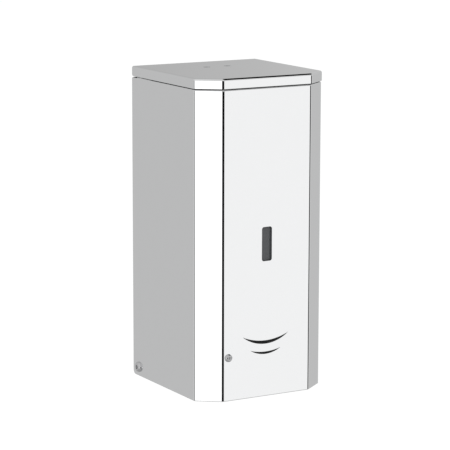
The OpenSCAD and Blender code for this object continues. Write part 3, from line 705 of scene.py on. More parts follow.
@dataclass
class Sheetwork:
    """What the folded cover and the lid share, in millimetres."""

    bevel_w: float = 20.0
    bevel_d: float = 15.0
    sheet: float = 1.0
    fold: float = 3.6

    def outline(self, half: float, front: float, rear: float, inset: float = 0.0) -> Points:
        """Outline of the bevelled body: its sides, bevels and front move in by inset.

        Args:
            half: half the width.
            front: the front face's y.
            rear: the rear edge's y.
            inset: how far the walls move in.

        Returns:
            The outline's points, anticlockwise.
        """
        length = math.hypot(self.bevel_w, self.bevel_d)
        side = half - inset
        bevel_y = front + self.bevel_d + inset * (length - self.bevel_d) / self.bevel_w
        bevel_x = half - self.bevel_w - inset * (length - self.bevel_w) / self.bevel_d
        near = front + inset
        corners = [[-side, bevel_y], [-bevel_x, near], [bevel_x, near], [side, bevel_y],
                   [side, rear], [-side, rear]]
        fold = max(self.fold - inset, 0.05)
        return round_outline(corners, [fold] * 4 + [0.03] * 2, 14)


@dataclass
class Cover:
    """The folded cover, its window, marks and screws."""

    palette: Palette
    shape: Sheetwork = field(default_factory=Sheetwork)
    rim: float = 8.0
    rim_rear: float = 14.0
    corner: float = 4.5
    border: float = 4.0
    top_fold: float = 1.1
    low_edge: float = 0.65

    def slot_ring(self, y: float) -> Points:
        """The window slot's outline at one depth."""
        low, high = box_mm("level_window")
        x, z0, z1 = high[0] - self.border, low[2] + self.border, high[2] - self.border
        flat = round_outline(box_corners(-x, z0, x, z1), [2.0] * 4, 10)
        return np.column_stack([flat[:, 0], np.full(len(flat), y), flat[:, 1]]) * MM

    def shell(self) -> None:
        """The cover: an outer loft less the space inside, the rim's opening and the window slot."""
        low, high = box_mm("cover_shell")
        half, front, rear, top = high[0], low[1], high[1], high[2]
        s = self.shape
        bend = np.linspace(0, np.pi / 2, 9)
        heights = [(self.low_edge * (1 - np.sin(a)), low[2] + self.low_edge * (1 - np.cos(a))) for a in bend]
        heights += [(self.top_fold * (1 - np.cos(a)), top - self.top_fold * (1 - np.sin(a))) for a in bend]
        shell = loft("cover_shell_piece", np.array(
            [at_height(s.outline(half, front, rear, i), z) for i, z in heights]))
        inner = np.array([at_height(s.outline(half, front, 9, s.sheet), z)
                          for z in (low[2] - 1, top - s.sheet)])
        mouth = np.array([at_height(s.outline(half, front, 9, self.rim), z) for z in (top - 2, top + 1)])
        back = np.array([at_height(box_corners(-half + s.sheet, -self.rim_rear, half - s.sheet, 9), z)
                         for z in (top - 2, top + 1)])
        slot = np.array([self.slot_ring(y) for y in (front + 3, front - 1)])
        notch = loft("notch", np.array([at_height(box_corners(-half - 2, -9.6, half + 2, 9), z)
                                        for z in (top - 0.8, top + 1)]))
        carve(shell, loft("inner", inner), loft("mouth", mouth), loft("back", back),
              loft("slot", slot), notch, self.rear_corner(half, rear, low[2]))
        soften(shell, 0.12)
        self.palette.dress(shell, "mirror_steel", HOUSING, "cover_shell")

    def dust_strip(self) -> None:
        """Soft round cord on the rim, close inside the seam: a circle carried along the outline."""
        low, high = box_mm("cover_shell")
        line = self.shape.outline(high[0], low[1], high[1], 2.4)
        line = line[line[:, 1] < high[1] - 1]
        ends = [[-high[0] + 2.4, -self.rim_rear - 1]], [[high[0] - 2.4, -self.rim_rear - 1]]
        path = np.vstack([ends[0], line, ends[1]])
        cord = tube("dust_strip", np.column_stack([path, np.full(len(path), high[2] + 0.75)]), 0.8, 12)
        self.palette.dress(cord, "black_rubber", HOUSING)

    def rear_corner(self, half: float, rear: float, foot: float) -> bpy.types.Object:
        """What is cut from both sides' low rear corner: a square less its quarter circle."""
        a = np.linspace(0, -np.pi / 2, 12)
        y = rear - self.corner + self.corner * np.cos(a)
        z = foot + self.corner + self.corner * np.sin(a)
        ring = np.column_stack([np.append(y, rear + 1), np.append(z, foot - 1)])
        ring = np.vstack([ring[:-1], [[rear - self.corner, foot - 1]], ring[-1:],
                          [[rear + 1, foot + self.corner]]])
        rings = [np.column_stack([np.full(len(ring), x), ring]) * MM for x in (-half - 2, half + 2)]
        cutter = loft("corner", np.array(rings))
        tidy_mesh(cutter)
        return cutter

    def marks(self) -> None:
        """The two filled arcs: points between a low and a high circle that meet at the tips."""
        low, high = box_mm("arc_marks")
        front = low[1] - 0.03
        middle = (low[0] + high[0]) / 2
        for name, half, tip, foot, crown in (("arc_upper", 22.8, 54.9, 46.9, 49.9),
                                             ("arc_lower", 15.2, 42.1, 37.8, 39.9)):
            lift = low[2] - 37.8
            u = np.linspace(-1, 1, 61)
            edges = []
            for depth in (tip - foot, tip - crown):
                radius = (half**2 + depth**2) / (2 * depth)
                edges.append(tip - depth + radius - np.sqrt(radius**2 - (half * u) ** 2) + lift)
            v = np.linspace(0, 1, 5)[:, None]
            z = edges[0] * (1 - v) + edges[1] * v
            x = np.broadcast_to(middle + half * u, z.shape)
            face = np.stack([x, np.full_like(z, front), z], axis=-1)
            behind = face + [0, 0.06, 0]
            n, m = z.shape
            quads = grid_faces(n, m, False)
            faces = quads + [[q + n * m for q in quad[::-1]] for quad in quads]
            ring = list(range(m)) + [(n - 1) * m + k for k in range(m - 1, -1, -1)]
            faces += [[a, b, b + n * m, a + n * m] for a, b in zip(ring, ring[1:] + ring[:1])]
            piece = make_mesh(name, np.vstack([face.reshape(-1, 3), behind.reshape(-1, 3)]) * MM, faces)
            tidy_mesh(piece, 1e-5)
            self.palette.dress(piece, "black_fill", HOUSING, *(["arc_marks"] if name == "arc_upper" else []))

    def window(self) -> None:
        """Smoked pane: a plate behind the front, hollowed behind the slot."""
        self.palette.dress(from_node("level_window", 0.22, 3), "window_clear", HOUSING, "level_window")

    def screw(self, name: str, centre: tuple, out: tuple, head_r: float, head_h: float,
              shank_r: float, length: float, socket_r: float) -> bpy.types.Object:
        """A button-head screw with a hexagon socket.

        A point at radius r and turn a lies at r (1 - k) + r k cos 30 / cos(((a + 30) mod 60) - 30), with
        k from 0 on round rings to 1 on the socket's.

        Args:
            name: the piece's name.
            centre: where the head seats, in millimetres.
            out: the way the head faces.
            head_r: the head's radius.
            head_h: the head's height.
            shank_r: the shank's radius.
            length: the shank's length.
            socket_r: the socket's radius across its corners.

        Returns:
            The screw.
        """
        dome = np.linspace(0.12, 1, 9)
        rings = [(0.01, -length, 0), (shank_r - 0.4, -length, 0), (shank_r, -length + 0.4, 0),
                 (shank_r, -0.2, 0), (head_r - 0.15, 0, 0), (head_r, 0.12, 0)]
        rim = socket_r * 1.28
        rings += [(rim + (head_r - rim) * math.cos(t * np.pi / 2), head_h * math.sin(t * np.pi / 2), 0)
                  for t in dome]
        rings += [(socket_r * 1.1, head_h - 0.02, 0.8), (socket_r, head_h - 0.2, 1),
                  (socket_r, head_h * 0.3, 1), (socket_r * 0.1, head_h * 0.18, 1)]
        r, h, k = np.array(rings).T[:, :, None]
        a = np.linspace(0, 2 * np.pi, 72, endpoint=False)
        sector = np.mod(a + np.pi / 6, np.pi / 3) - np.pi / 6
        reach = r * (1 - k) + r * k * math.cos(np.pi / 6) / np.cos(sector)
        n = Vector(out).normalized()
        u = n.orthogonal().normalized()
        w = n.cross(u)
        pts = (reach * np.cos(a))[..., None] * np.array(u) + (reach * np.sin(a))[..., None] * np.array(w)
        pts = pts + (h + 0 * a)[..., None] * np.array(n) + np.array(centre)
        screw = loft(name, pts * MM)
        tidy_mesh(screw)
        return screw

    def screws(self) -> None:
        """The screws at both low rear corners and the one low on the front's left."""
        for side, name in ((-1, "side_screw_left"), (1, "side_screw_right")):
            z = middle_mm("side_screws")[2]
            y = middle_mm("side_screws")[1]
            x = side * box_mm("cover_shell")[1][0]
            screw = self.screw(name, (x, y, z), (side, 0, 0), 4.75, 2.6, 2.5, 9, 1.9)
            self.palette.dress(screw, "fastener_steel", HOUSING, *(["side_screws"] if side < 0 else []))
        x, _, z = middle_mm("front_screw")
        screw = self.screw("front_screw_piece", (x, box_mm("cover_shell")[0][1], z), (0, -1, 0),
                           3.5, 1.9, 2.0, 6.8, 1.5)
        self.palette.dress(screw, "fastener_steel", HOUSING, "front_screw")

    def build(self) -> None:
        """Makes every piece of the cover."""
        self.shell()
        self.dust_strip()
        self.marks()
        self.window()
        self.screws()
        self.palette.refine("front_bracket", "steel_upright", HOUSING, 0.3, "steel_plate")
        self.palette.refine("front_nut", "fastener_steel", HOUSING, 0.3)


@dataclass
class Lid:
    """The hinged filling lid with its leaf, pins, seal, keeper and bumpers."""

    palette: Palette
    shape: Sheetwork = field(default_factory=Sheetwork)
    edge: float = 1.8
    key_r: float = 2.9
    key_flare: float = 1.1
    key_skin: float = 0.25
    key_x: float = 10.3
    key_y: float = -41.5

    def shell(self) -> None:
        """The lid: a loft with a rounded upper edge, less the space inside and the two key holes."""
        low, high = box_mm("lid")
        half, front, rear, top = high[0], low[1], high[1], high[2]
        s = self.shape
        bend = np.linspace(0, np.pi / 2, 10)
        heights = [(0.12, low[2]), (0.0, low[2] + 0.12)]
        heights += [(self.edge * (1 - np.cos(a)), top - self.edge * (1 - np.sin(a))) for a in bend]
        lid = loft("lid_piece", np.array([at_height(s.outline(half, front, rear, i), z) for i, z in heights]))
        inner = loft("inner", np.array([at_height(s.outline(half, front, 9, s.sheet), z)
                                        for z in (low[2] - 1, top - s.sheet)]))
        skin, wide = top - self.key_skin, self.key_r + self.key_flare
        key = [(0, top - 4), (wide, top - 4), (wide, skin - 0.3), (self.key_r, skin), (self.key_r, top + 1),
               (0, top + 1)]
        holes = [revolve("key", key, (x, self.key_y, 0)) for x in (-self.key_x, self.key_x)]
        carve(lid, inner, *holes, self.rear_corner(half, rear, low[2]))
        soften(lid, 0.12)
        self.palette.dress(lid, "mirror_steel", LID, "lid")

    def rear_corner(self, half: float, rear: float, foot: float, corner: float = 2.0) -> bpy.types.Object:
        """What is cut from the skirt's low rear corner: a square less its quarter circle."""
        a = np.linspace(0, -np.pi / 2, 8)
        y = rear - corner + corner * np.cos(a)
        z = foot + corner + corner * np.sin(a)
        ring = np.vstack([np.column_stack([y, z]), [[rear - corner, foot - 1], [rear + 1, foot - 1],
                                                    [rear + 1, foot + corner]]])
        rings = [np.column_stack([np.full(len(ring), x), ring]) * MM for x in (-half - 2, half + 2)]
        cutter = loft("corner", np.array(rings))
        tidy_mesh(cutter)
        return cutter

    def seal(self) -> None:
        """The soft pad over the tank's mouth: a block with a crowned lip all round its underside."""
        low, high = box_mm("lid_seal")
        pad = drum("lid_seal_pad", box_corners(low[0], low[1], high[0], high[1]), 5, low[2] + 1, high[2], 0.8)
        well = drum("well", box_corners(low[0] + 8, low[1] + 8, high[0] - 8, high[1] - 8), 3,
                    low[2] - 2, high[2] - 2, 0.6)
        carve(pad, well)
        flat = round_outline(box_corners(low[0] + 4, low[1] + 4, high[0] - 4, high[1] - 4), [4] * 4, 8)
        path = np.vstack([flat, flat[:2]])
        bead = tube("lid_seal_bead", np.column_stack([path, np.full(len(path), low[2] + 1.1)]), 1.05, 12)
        self.palette.dress(pad, "black_rubber", LID, "lid_seal")
        self.palette.dress(bead, "black_rubber", LID)

    def bumpers(self) -> None:
        """The lid's four rubber stops: barrels with a domed foot and a waist."""
        low, high = box_mm("lid_bumpers")
        profile = [(0, high[2]), (2.3, high[2]), (2.1, high[2] - 3), (2.4, low[2] + 2.2), (2.3, low[2] + 0.9),
                   (1.6, low[2] + 0.2), (0, low[2])]
        stops = [revolve(f"stop{x:.0f}{y:.0f}", profile, (x, y, 0), turns=24)
                 for x in (low[0] + 2.4, high[0] - 2.4) for y in (low[1] + 2.4, high[1] - 2.4)]
        self.palette.dress(join("lid_bumper_set", stops), "black_rubber", LID, "lid_bumpers")

    def rivets(self) -> None:
        """Flat rivet heads under the leaf's plate."""
        low, high = box_mm("lid_leaf")
        z = high[2] - 1
        profile = [(0, z + 0.2), (2.2, z + 0.2), (2.2, z - 0.3), (1.7, z - 0.75), (0.6, z - 0.9),
                   (0, z - 0.9)]
        heads = [revolve(f"rivet{x}", profile, (x, low[1] + 7, 0), turns=24) for x in (-28, 0, 28)]
        self.palette.dress(join("leaf_rivets", heads), "fastener_steel", LID)

    def build(self) -> None:
        """Makes every piece of the lid."""
        self.shell()
        self.seal()
        self.bumpers()
        self.rivets()
        self.palette.refine("lid_leaf", "spring_steel", LID, 0.2)
        self.palette.refine("hinge_pins", "spring_steel", LID, 0.25)
        self.palette.refine("keeper_plate", "spring_steel", LID, 0.25)


@dataclass
class Latch:
    """The magnet catch under the key holes."""

    palette: Palette
    wire: float = 0.42
    coil_r: float = 2.8
    turns: float = 4.5

    def spring(self) -> None:
        """The coil: (R cos a, R sin a, z) with z flat over the first and last turn and rising between."""
        low, high = box_mm("latch_spring")
        a = np.linspace(0, 2 * np.pi * self.turns, int(self.turns * 24))
        share = np.clip((a - 2 * np.pi) / (2 * np.pi * (self.turns - 2)), 0, 1)
        travel = high[2] - low[2] - 2 * self.wire
        x, y, _ = middle_mm("latch_spring")
        coil = np.column_stack([x + self.coil_r * np.cos(a), y + self.coil_r * np.sin(a),
                                low[2] + self.wire + travel * share])
        spring = tube("latch_coil", coil, self.wire, 10)
        self.palette.dress(spring, "spring_steel", HOUSING, "latch_spring")
        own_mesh(spring)

    def build(self) -> None:
        """Makes every piece of the latch."""
        self.spring()
        self.palette.refine("latch_bridge", "steel_plate", HOUSING, 0.3)
        self.palette.refine("latch_housing", "dark_plastic", HOUSING, 0.4)
        self.palette.refine("latch_slide", "pale_plastic", "latch", 0.4)
        self.palette.refine("latch_magnets", "magnet", "latch", 0.3)


@dataclass
class SoapPath:
    """Tank, hoses, clips and nozzle."""

    palette: Palette
    wall: float = 2.0
    cut: float = 12.0

    def tank_corners(self, half: float, front: float, rear: float, inset: float) -> Points:
        """The tank's outline corners, moved in by inset."""
        side, near = half - inset, front + inset
        bevel = inset / 2
        return np.array([[-side, front + self.cut + bevel], [-half + 16 + bevel, near],
                         [half - 16 - bevel, near], [side, front + self.cut + bevel],
                         [side, rear - inset], [-side, rear - inset]])

    def tank(self) -> None:
        """Blow-moulded tank: a rounded body with ribs, less its inside, with a lipped neck."""
        low, high = box_mm("tank")
        half, front, rear = high[0], low[1], high[1]
        foot = box_mm("tank_shelf")[1][2]
        shoulder = box_mm("latch_bridge")[0][2] + 8
        a = np.linspace(0, np.pi / 2, 7)
        r = 5.0
        inset = np.concatenate([r * (1 - np.sin(a)), [0, 0.8, 0.8, 0] * 3, r * (1 - np.cos(a))])
        span = shoulder - foot
        ribs = [foot + span * s + d for s in (0.3, 0.5, 0.7) for d in (-3.2, -2, 2, 3.2)]
        z = np.concatenate([foot + r * (1 - np.cos(a)), ribs, shoulder - r * (1 - np.sin(a))])
        radii = [6.0] * 6
        body = loft("tank_body", np.array([
            at_height(round_outline(self.tank_corners(half, front, rear, i), radii, 8), h)
            for i, h in zip(inset, z)]))
        inside = loft("inside", np.array([
            at_height(round_outline(self.tank_corners(half, front, rear, i + self.wall), [4.5] * 6, 8), h)
            for i, h in zip(inset, foot + self.wall + (z - foot) * (span - 2 * self.wall) / span)]))
        ring = (-42, high[1] - 32, 42, high[1] - 78)
        x0, y1, x1, y0 = ring
        neck = drum("neck", box_corners(x0, y0, x1, y1), 6, shoulder - 3, high[2], 0.6)
        union = body.modifiers.new("neck", "BOOLEAN")
        union.operation = "UNION"
        union.solver = "EXACT"
        union.object = neck
        apply_modifiers(body)
        bpy.data.objects.remove(neck)
        mouth = drum("mouth", box_corners(x0 + 2, y0 + 2, x1 - 2, y1 - 2), 4.2, shoulder - 4,
                     high[2] + 2, 0.1)
        carve(body, inside, mouth)
        soften(body, 0.3)
        self.palette.dress(body, "tank_plastic", HOUSING, "tank")
        x, y = 0, middle_mm("outlet_nut")[1]
        base = low[2]
        profile = [(2.8, foot + 1), (6, foot + 1), (6, base + 10.6), (4.7, base + 9.6)]
        profile += [(4.75 - 0.55 * k, base + 9 - 2.2 * i - 1.8 * k) for i in range(4) for k in (0, 1)]
        profile += [(3.6, base + 0.4), (3.3, base), (2.8, base)]
        spigot = revolve("tank_spigot", profile, (x, y, 0))
        self.palette.dress(spigot, "tank_plastic", HOUSING)

    def hose(self, node: str) -> None:
        """A soft hose that swells where it is pushed over the spigot and the barb."""
        low, high = box_mm(node)
        x, y, _ = middle_mm(node)
        z = np.linspace(low[2], high[2], 33)
        s = (z - low[2]) / (high[2] - low[2])
        swell = 0.25 * np.cos(2 * np.pi * s) - 0.1
        outer = high[0] - x + np.minimum(swell, 0)
        outer[[0, -1]] -= 0.3
        profile = np.vstack([np.column_stack([outer, z]),
                             np.column_stack([np.full(33, outer.max() - 1.5), z[::-1]])])
        self.palette.dress(revolve(node + "_tube", profile, (x, y, 0), turns=40), "silicone", HOUSING, node)

    def clips(self) -> None:
        """Spring band clips: a flat band round each hose with two pinch ears."""
        low, high = box_mm("hose_clips")
        x, y, _ = middle_mm("hose_clips")
        r = high[0] - x
        feet = [low[2], low[2] + 11, low[2] + 42 - 4.1, high[2] - 2]
        hose_top = box_mm("inlet_hose")
        feet = [low[2], box_mm("outlet_hose")[1][2] - 4.5, hose_top[0][2] + 1.5, high[2] - 2]
        bands = []
        for i, z in enumerate(feet):
            profile = [(r - 0.75, z), (r - 0.1, z), (r, z + 0.15), (r, z + 1.85), (r - 0.1, z + 2),
                       (r - 0.75, z + 2)]
            bands.append(revolve(f"band{i}", profile, (x, y, 0), turns=40))
            for side in (-1, 1):
                bands.append(drum(f"ear{i}{side}", box_corners(x + side * 1.6 - 0.35, y + r - 0.6,
                                                               x + side * 1.6 + 0.35, y + r + 2.6),
                                  0.2, z, z + 2, 0.15))
        self.palette.dress(join("hose_clip_set", bands), "spring_steel", HOUSING, "hose_clips")

    def nozzle(self) -> None:
        """The spout: a flange with a stepped edge, a threaded waist, a barb and a tapered tip."""
        low, high = box_mm("nozzle")
        x, y, _ = middle_mm("nozzle")
        z = low[2]
        thread = [(8 - 0.35 * (k % 2), z + 7.2 + 0.5 * k) for k in range(18)]
        barb = [(4.6 - 0.5 * (k % 2), high[2] - 9 + 1.1 * k) for k in range(7)]
        profile = [(4.2, z), (5.2, z), (5.6, z + 0.25), (7.9, z + 1.9), (10.7, z + 1.9), (11, z + 2.2),
                   (11, z + 5.0), (10.7, z + 5.45), (8, z + 5.5)] + thread
        profile += [(7.6, z + 16.6), (6.2, z + 17), (6, z + 17.4), (6, high[2] - 10.4), (4.4, high[2] - 10)]
        profile += barb + [(3.6, high[2]), (2.8, high[2]), (2.8, z + 9.5), (4.2, z + 9.5)]
        self.palette.dress(revolve("nozzle_spout", profile, (x, y, 0), turns=64), "dark_plastic", HOUSING,
                           "nozzle")

    def valve(self) -> None:
        """Duck-bill drip valve: a skirt that narrows by a cosine to a slit."""
        low, high = box_mm("drip_valve")
        x, y, _ = middle_mm("drip_valve")
        s = np.linspace(0, 1, 9)[:, None]
        a = np.linspace(0, 2 * np.pi, 40, endpoint=False)[None, :]
        width = 3.0 - 0.4 * (1 - np.cos(np.pi * s / 2))
        depth = 3.0 - 2.6 * (1 - np.cos(np.pi * s / 2))
        z = high[2] - 3 - s * (high[2] - 3 - low[2])
        pts = np.stack([x + width * np.cos(a), y + depth * np.sin(a), z + 0 * a], axis=-1)[::-1]
        bill = loft("drip_bill", pts * MM)
        collar = revolve("collar", [(2, high[2]), (3.9, high[2]), (4.15, high[2] - 0.3),
                                    (4.15, high[2] - 2.7),
                                    (3.9, high[2] - 3), (2, high[2] - 3)], (x, y, 0))
        self.palette.dress(join("drip_valve_piece", [bill, collar]), "red_silicone", HOUSING, "drip_valve")

    def build(self) -> None:
        """Makes every piece that the soap runs through."""
        self.tank()
        self.hose("inlet_hose")
        self.hose("outlet_hose")
        self.clips()
        self.nozzle()
        self.valve()
        self.palette.refine("outlet_seal", "black_rubber", HOUSING, 0.3)
        self.palette.refine("outlet_nut", "dark_plastic", HOUSING, 0.4)
        self.palette.refine("nozzle_nut", "dark_plastic", HOUSING, 0.4)


@dataclass
class Pump:
    """Gear pump, its bracket and its motor."""

    palette: Palette

    def motor(self) -> None:
        """The motor can: a drawn cup with two flats, a rolled front edge and a shallow groove near its rear.
        """
        low, high = box_mm("motor_can")
        _, y, z = middle_mm("motor_can")
        radius, flat = (high[1] - low[1]) / 2, (high[2] - low[2]) / 2
        a = np.linspace(0, 2 * np.pi, 96, endpoint=False)
        front = high[0] - 1.3
        s = np.linspace(0, np.pi / 2, 6)
        steps = [(0.9, low[0]), (1.0, low[0] + 0.2), (1.0, low[0] + 1.2), (0.975, low[0] + 1.5),
                 (0.975, low[0] + 2.1), (1.0, low[0] + 2.4)]
        steps += [(1 - 0.08 * (1 - math.cos(t)), front - 0.9 * (1 - math.sin(t))) for t in s]
        k, x = np.array(steps).T[:, :, None]
        across = radius * k * np.cos(a)
        up = np.clip(radius * k * np.sin(a), -flat * k, flat * k)
        can = loft("motor_can_body", np.stack([x + 0 * a, y + across, z + up], axis=-1) * MM)
        boss = revolve("boss", [(1.1, front - 0.1), (2.9, front - 0.1), (2.9, high[0] - 0.3),
                                (2.6, high[0]), (1.1, high[0])], (0, y, z), "X", 32)
        whole = join("motor_can_piece", [can, boss])
        tidy_mesh(whole)
        self.palette.dress(whole, "spring_steel", HOUSING, "motor_can")

    def build(self) -> None:
        """Makes every piece of the pump."""
        self.motor()
        self.palette.refine("motor_cap", "dark_plastic", HOUSING, 0.3)
        self.palette.refine("motor_shaft", "spring_steel", "pump_drive", 0.2)
        self.palette.refine("drive_gear", "gear_plastic", "pump_drive", 0.12)
        self.palette.refine("idler_gear", "gear_plastic", "pump_idler", 0.12)
        self.palette.refine("idler_pin", "spring_steel", HOUSING, 0.2)
        self.palette.refine("pump_housing", "pump_plastic", HOUSING, 0.5)
        self.palette.refine("pump_gasket", "black_rubber", HOUSING, 0.1)
        self.palette.refine("pump_cover", "pump_plastic", HOUSING, 0.5)
        self.palette.refine("pump_screws", "fastener_steel", HOUSING, 0.08)
        self.palette.refine("pump_bracket", "steel_upright", HOUSING, 0.3, "steel_plate")


@dataclass
class Electrics:
    """Cells, door, sensor, lamp, board, switch and leads."""

    palette: Palette

    def cells(self) -> None:
        """Four cells: a sleeve with rolled ends, a recessed rim and a raised nub."""
        low, high = box_mm("battery_cells")
        r = (high[1] - low[1]) / 2
        y = middle_mm("battery_cells")[1]
        count = 4
        pitch = (high[0] - low[0] - 2 * r) / (count - 1)
        z0, z1 = low[2], high[2] - 1.5
        sleeve = [(0, z0 + 0.2), (r - 2.2, z0 + 0.2), (r - 1.6, z0), (r - 0.5, z0 + 0.1), (r, z0 + 0.7),
                  (r, z1 - 0.8), (r - 0.4, z1 - 0.1), (r - 1.4, z1), (r - 2.2, z1 - 0.5), (0, z1 - 0.5)]
        nub = [(0, z1 - 0.6), (r - 3, z1 - 0.6), (r - 3.4, z1 - 0.3), (3.4, z1 - 0.3), (3.2, high[2] - 0.3),
               (2.8, high[2]), (0, high[2])]
        places = [low[0] + r + pitch * i for i in range(count)]
        sleeves = [revolve(f"sleeve{i}", sleeve, (x, y, 0), turns=56) for i, x in enumerate(places)]
        nubs = [revolve(f"nub{i}", nub, (x, y, 0), turns=40) for i, x in enumerate(places)]
        self.palette.dress(join("cell_sleeves", sleeves), "cell_jacket", HOUSING, "battery_cells")
        self.palette.dress(join("cell_nubs", nubs), "spring_steel", HOUSING, slot="spring_steel")

    def door_ribs(self) -> None:
        """Thumb ribs along the door's free edge: bars with half-round tops."""
        low, _ = box_mm("battery_door")
        z = low[2] + 1.9
        a = np.linspace(0, 2 * np.pi, 16, endpoint=False)
        bars = []
        for i in range(6):
            y = low[1] + 7.5 + 1.7 * i
            x = np.array([-14 + 0.5 * i, -13.6 + 0.5 * i, 13.6 - 0.5 * i, 14 - 0.5 * i])[:, None]
            size = np.array([0.25, 0.5, 0.5, 0.25])[:, None]
            pts = np.stack([x + 0 * a, y + size * np.cos(a), z + size * np.sin(a)], axis=-1)
            bars.append(loft(f"bar{i}", pts * MM))
        ribs = join("door_ribs", bars)
        tidy_mesh(ribs)
        self.palette.dress(ribs, "dark_plastic", "battery_door")

    def lenses(self) -> None:
        """Two domed infra-red windows with a stepped rim, and the lamp's dome."""
        for node, finish, radius, places in (("sensor_lenses", "sensor_glass", 3.1, (-6, 6)),
                                             ("indicator_lamp", "lamp_lens", 2.5, (0,))):
            low, high = box_mm(node)
            mid = middle_mm(node)
            a = np.linspace(0, np.pi / 2, 8)
            foot = low[2] + (2.4 if node == "indicator_lamp" else 1.2)
            dome = [(radius * math.sin(t), foot - (foot - low[2]) * math.cos(t)) for t in a]
            profile = dome + [(radius, high[2] - 8), (radius - 0.5, high[2] - 8),
                              (radius - 0.5, high[2]), (0, high[2])]
            parts = [revolve(f"{node}{x}", profile, (mid[0] + x, mid[1], 0), turns=40) for x in places]
            self.palette.dress(join(node + "_set", parts), finish, HOUSING, node)

    def chip_legs(self) -> None:
        """Legs of the board's chip: bent wires on both sides at an even pitch."""
        _, high = box_mm("control_board")
        y = high[1]
        pump_top = box_mm("pump_cover")[1][2]
        legs = []
        for i in range(7):
            for side, z in ((-1, pump_top + 1), (1, pump_top + 13)):
                x = -4.6 + 1.9 * i
                path = [[x, y + 1.1, z], [x, y + 1.1, z + side * 0.7], [x, y + 0.5, z + side * 1.1],
                        [x, y + 0.15, z + side * 1.2], [x, y + 0.15, z + side * 2.0]]
                legs.append(tube(f"leg{i}{side}", path, 0.22, 6))
        self.palette.dress(join("chip_legs", legs), "magnet", HOUSING)

    def wires(self) -> None:
        """The three leads, along the same points as in the part."""
        board = box_mm("control_board")
        back = board[1][1]
        socket = board[0][2] + 28.5
        top = box_mm("battery_box")[1][2] + 0.1
        cell_y = middle_mm("battery_cells")[1]
        over = middle_mm("drive_gear")[2] + 13
        sensor_top = box_mm("sensor_housing")[1][2] + 0.1
        knee = sensor_top + 21.4
        routes = {
            "wire_red": [[-44, cell_y, top], [-44, cell_y - 1, top + 6], [-45, -60, over - 1],
                         [-42, -90, over + 1], [-34, back + 9, over - 3], [-30, back + 6.5, socket],
                         [-30, back + 4.4, socket]],
            "wire_black": [[-36, cell_y, top], [-36, cell_y - 1, top + 7], [-37, -54, over],
                           [-38, -82, over + 2], [-28, back + 9, over], [-21, back + 6.5, socket],
                           [-21, back + 4.4, socket]],
            "wire_white": [[-10, back + 1.7, sensor_top], [-10.4, back + 1.5, sensor_top + 7.9],
                           [-11, back + 2, knee], [-12, back + 2, knee + 13],
                           [-12, back + 2, socket - 2.9]],
        }
        for name, route in routes.items():
            lead = tube(name + "_lead", smooth_path(route), 0.8, 14)
            self.palette.dress(lead, name, HOUSING, *(["wires"] if name == "wire_red" else []),
                               slot="wire_jacket")

    def build(self) -> None:
        """Makes every electrical piece."""
        self.cells()
        self.door_ribs()
        self.lenses()
        self.chip_legs()
        self.wires()
        self.palette.refine("battery_box", "dark_plastic", HOUSING, 0.5)
        self.palette.refine("battery_contacts", "spring_steel", HOUSING, 0.1)
        self.palette.refine("battery_door", "dark_plastic", "battery_door", 0.3)
        self.palette.refine("door_pin", "spring_steel", HOUSING, 0.2)
        self.palette.refine("sensor_housing", "dark_plastic", HOUSING, 0.5)
        self.palette.refine("control_board", "circuit_board", HOUSING, 0.1)
        self.palette.refine("board_parts", "chip_black", HOUSING, 0.2)
        self.palette.refine("board_screws", "fastener_steel", HOUSING, 0.08)
        self.palette.refine("switch_body", "dark_plastic", HOUSING, 0.4)
        self.palette.refine("switch_knob", "pale_plastic", "switch_knob", 0.2)


@dataclass
class WallSide:
    """Back plate, shelf, floor and their screws."""

    palette: Palette

    def build(self) -> None:
        """Makes every piece that stays on the wall."""
        self.palette.refine("back_plate", "steel_upright", HOUSING, 0.3, "steel_plate")
        self.palette.refine("nut_rivets", "fastener_steel", HOUSING, 0.3)
        self.palette.refine("tank_shelf", "steel_plate", HOUSING, 0.3)
        self.palette.refine("shelf_screws", "fastener_steel", HOUSING, 0.1)
        self.palette.refine("base_plate", "steel_plate", HOUSING, 0.3)
        self.palette.refine("base_screws", "fastener_steel", HOUSING, 0.1)


# ---- studio ----


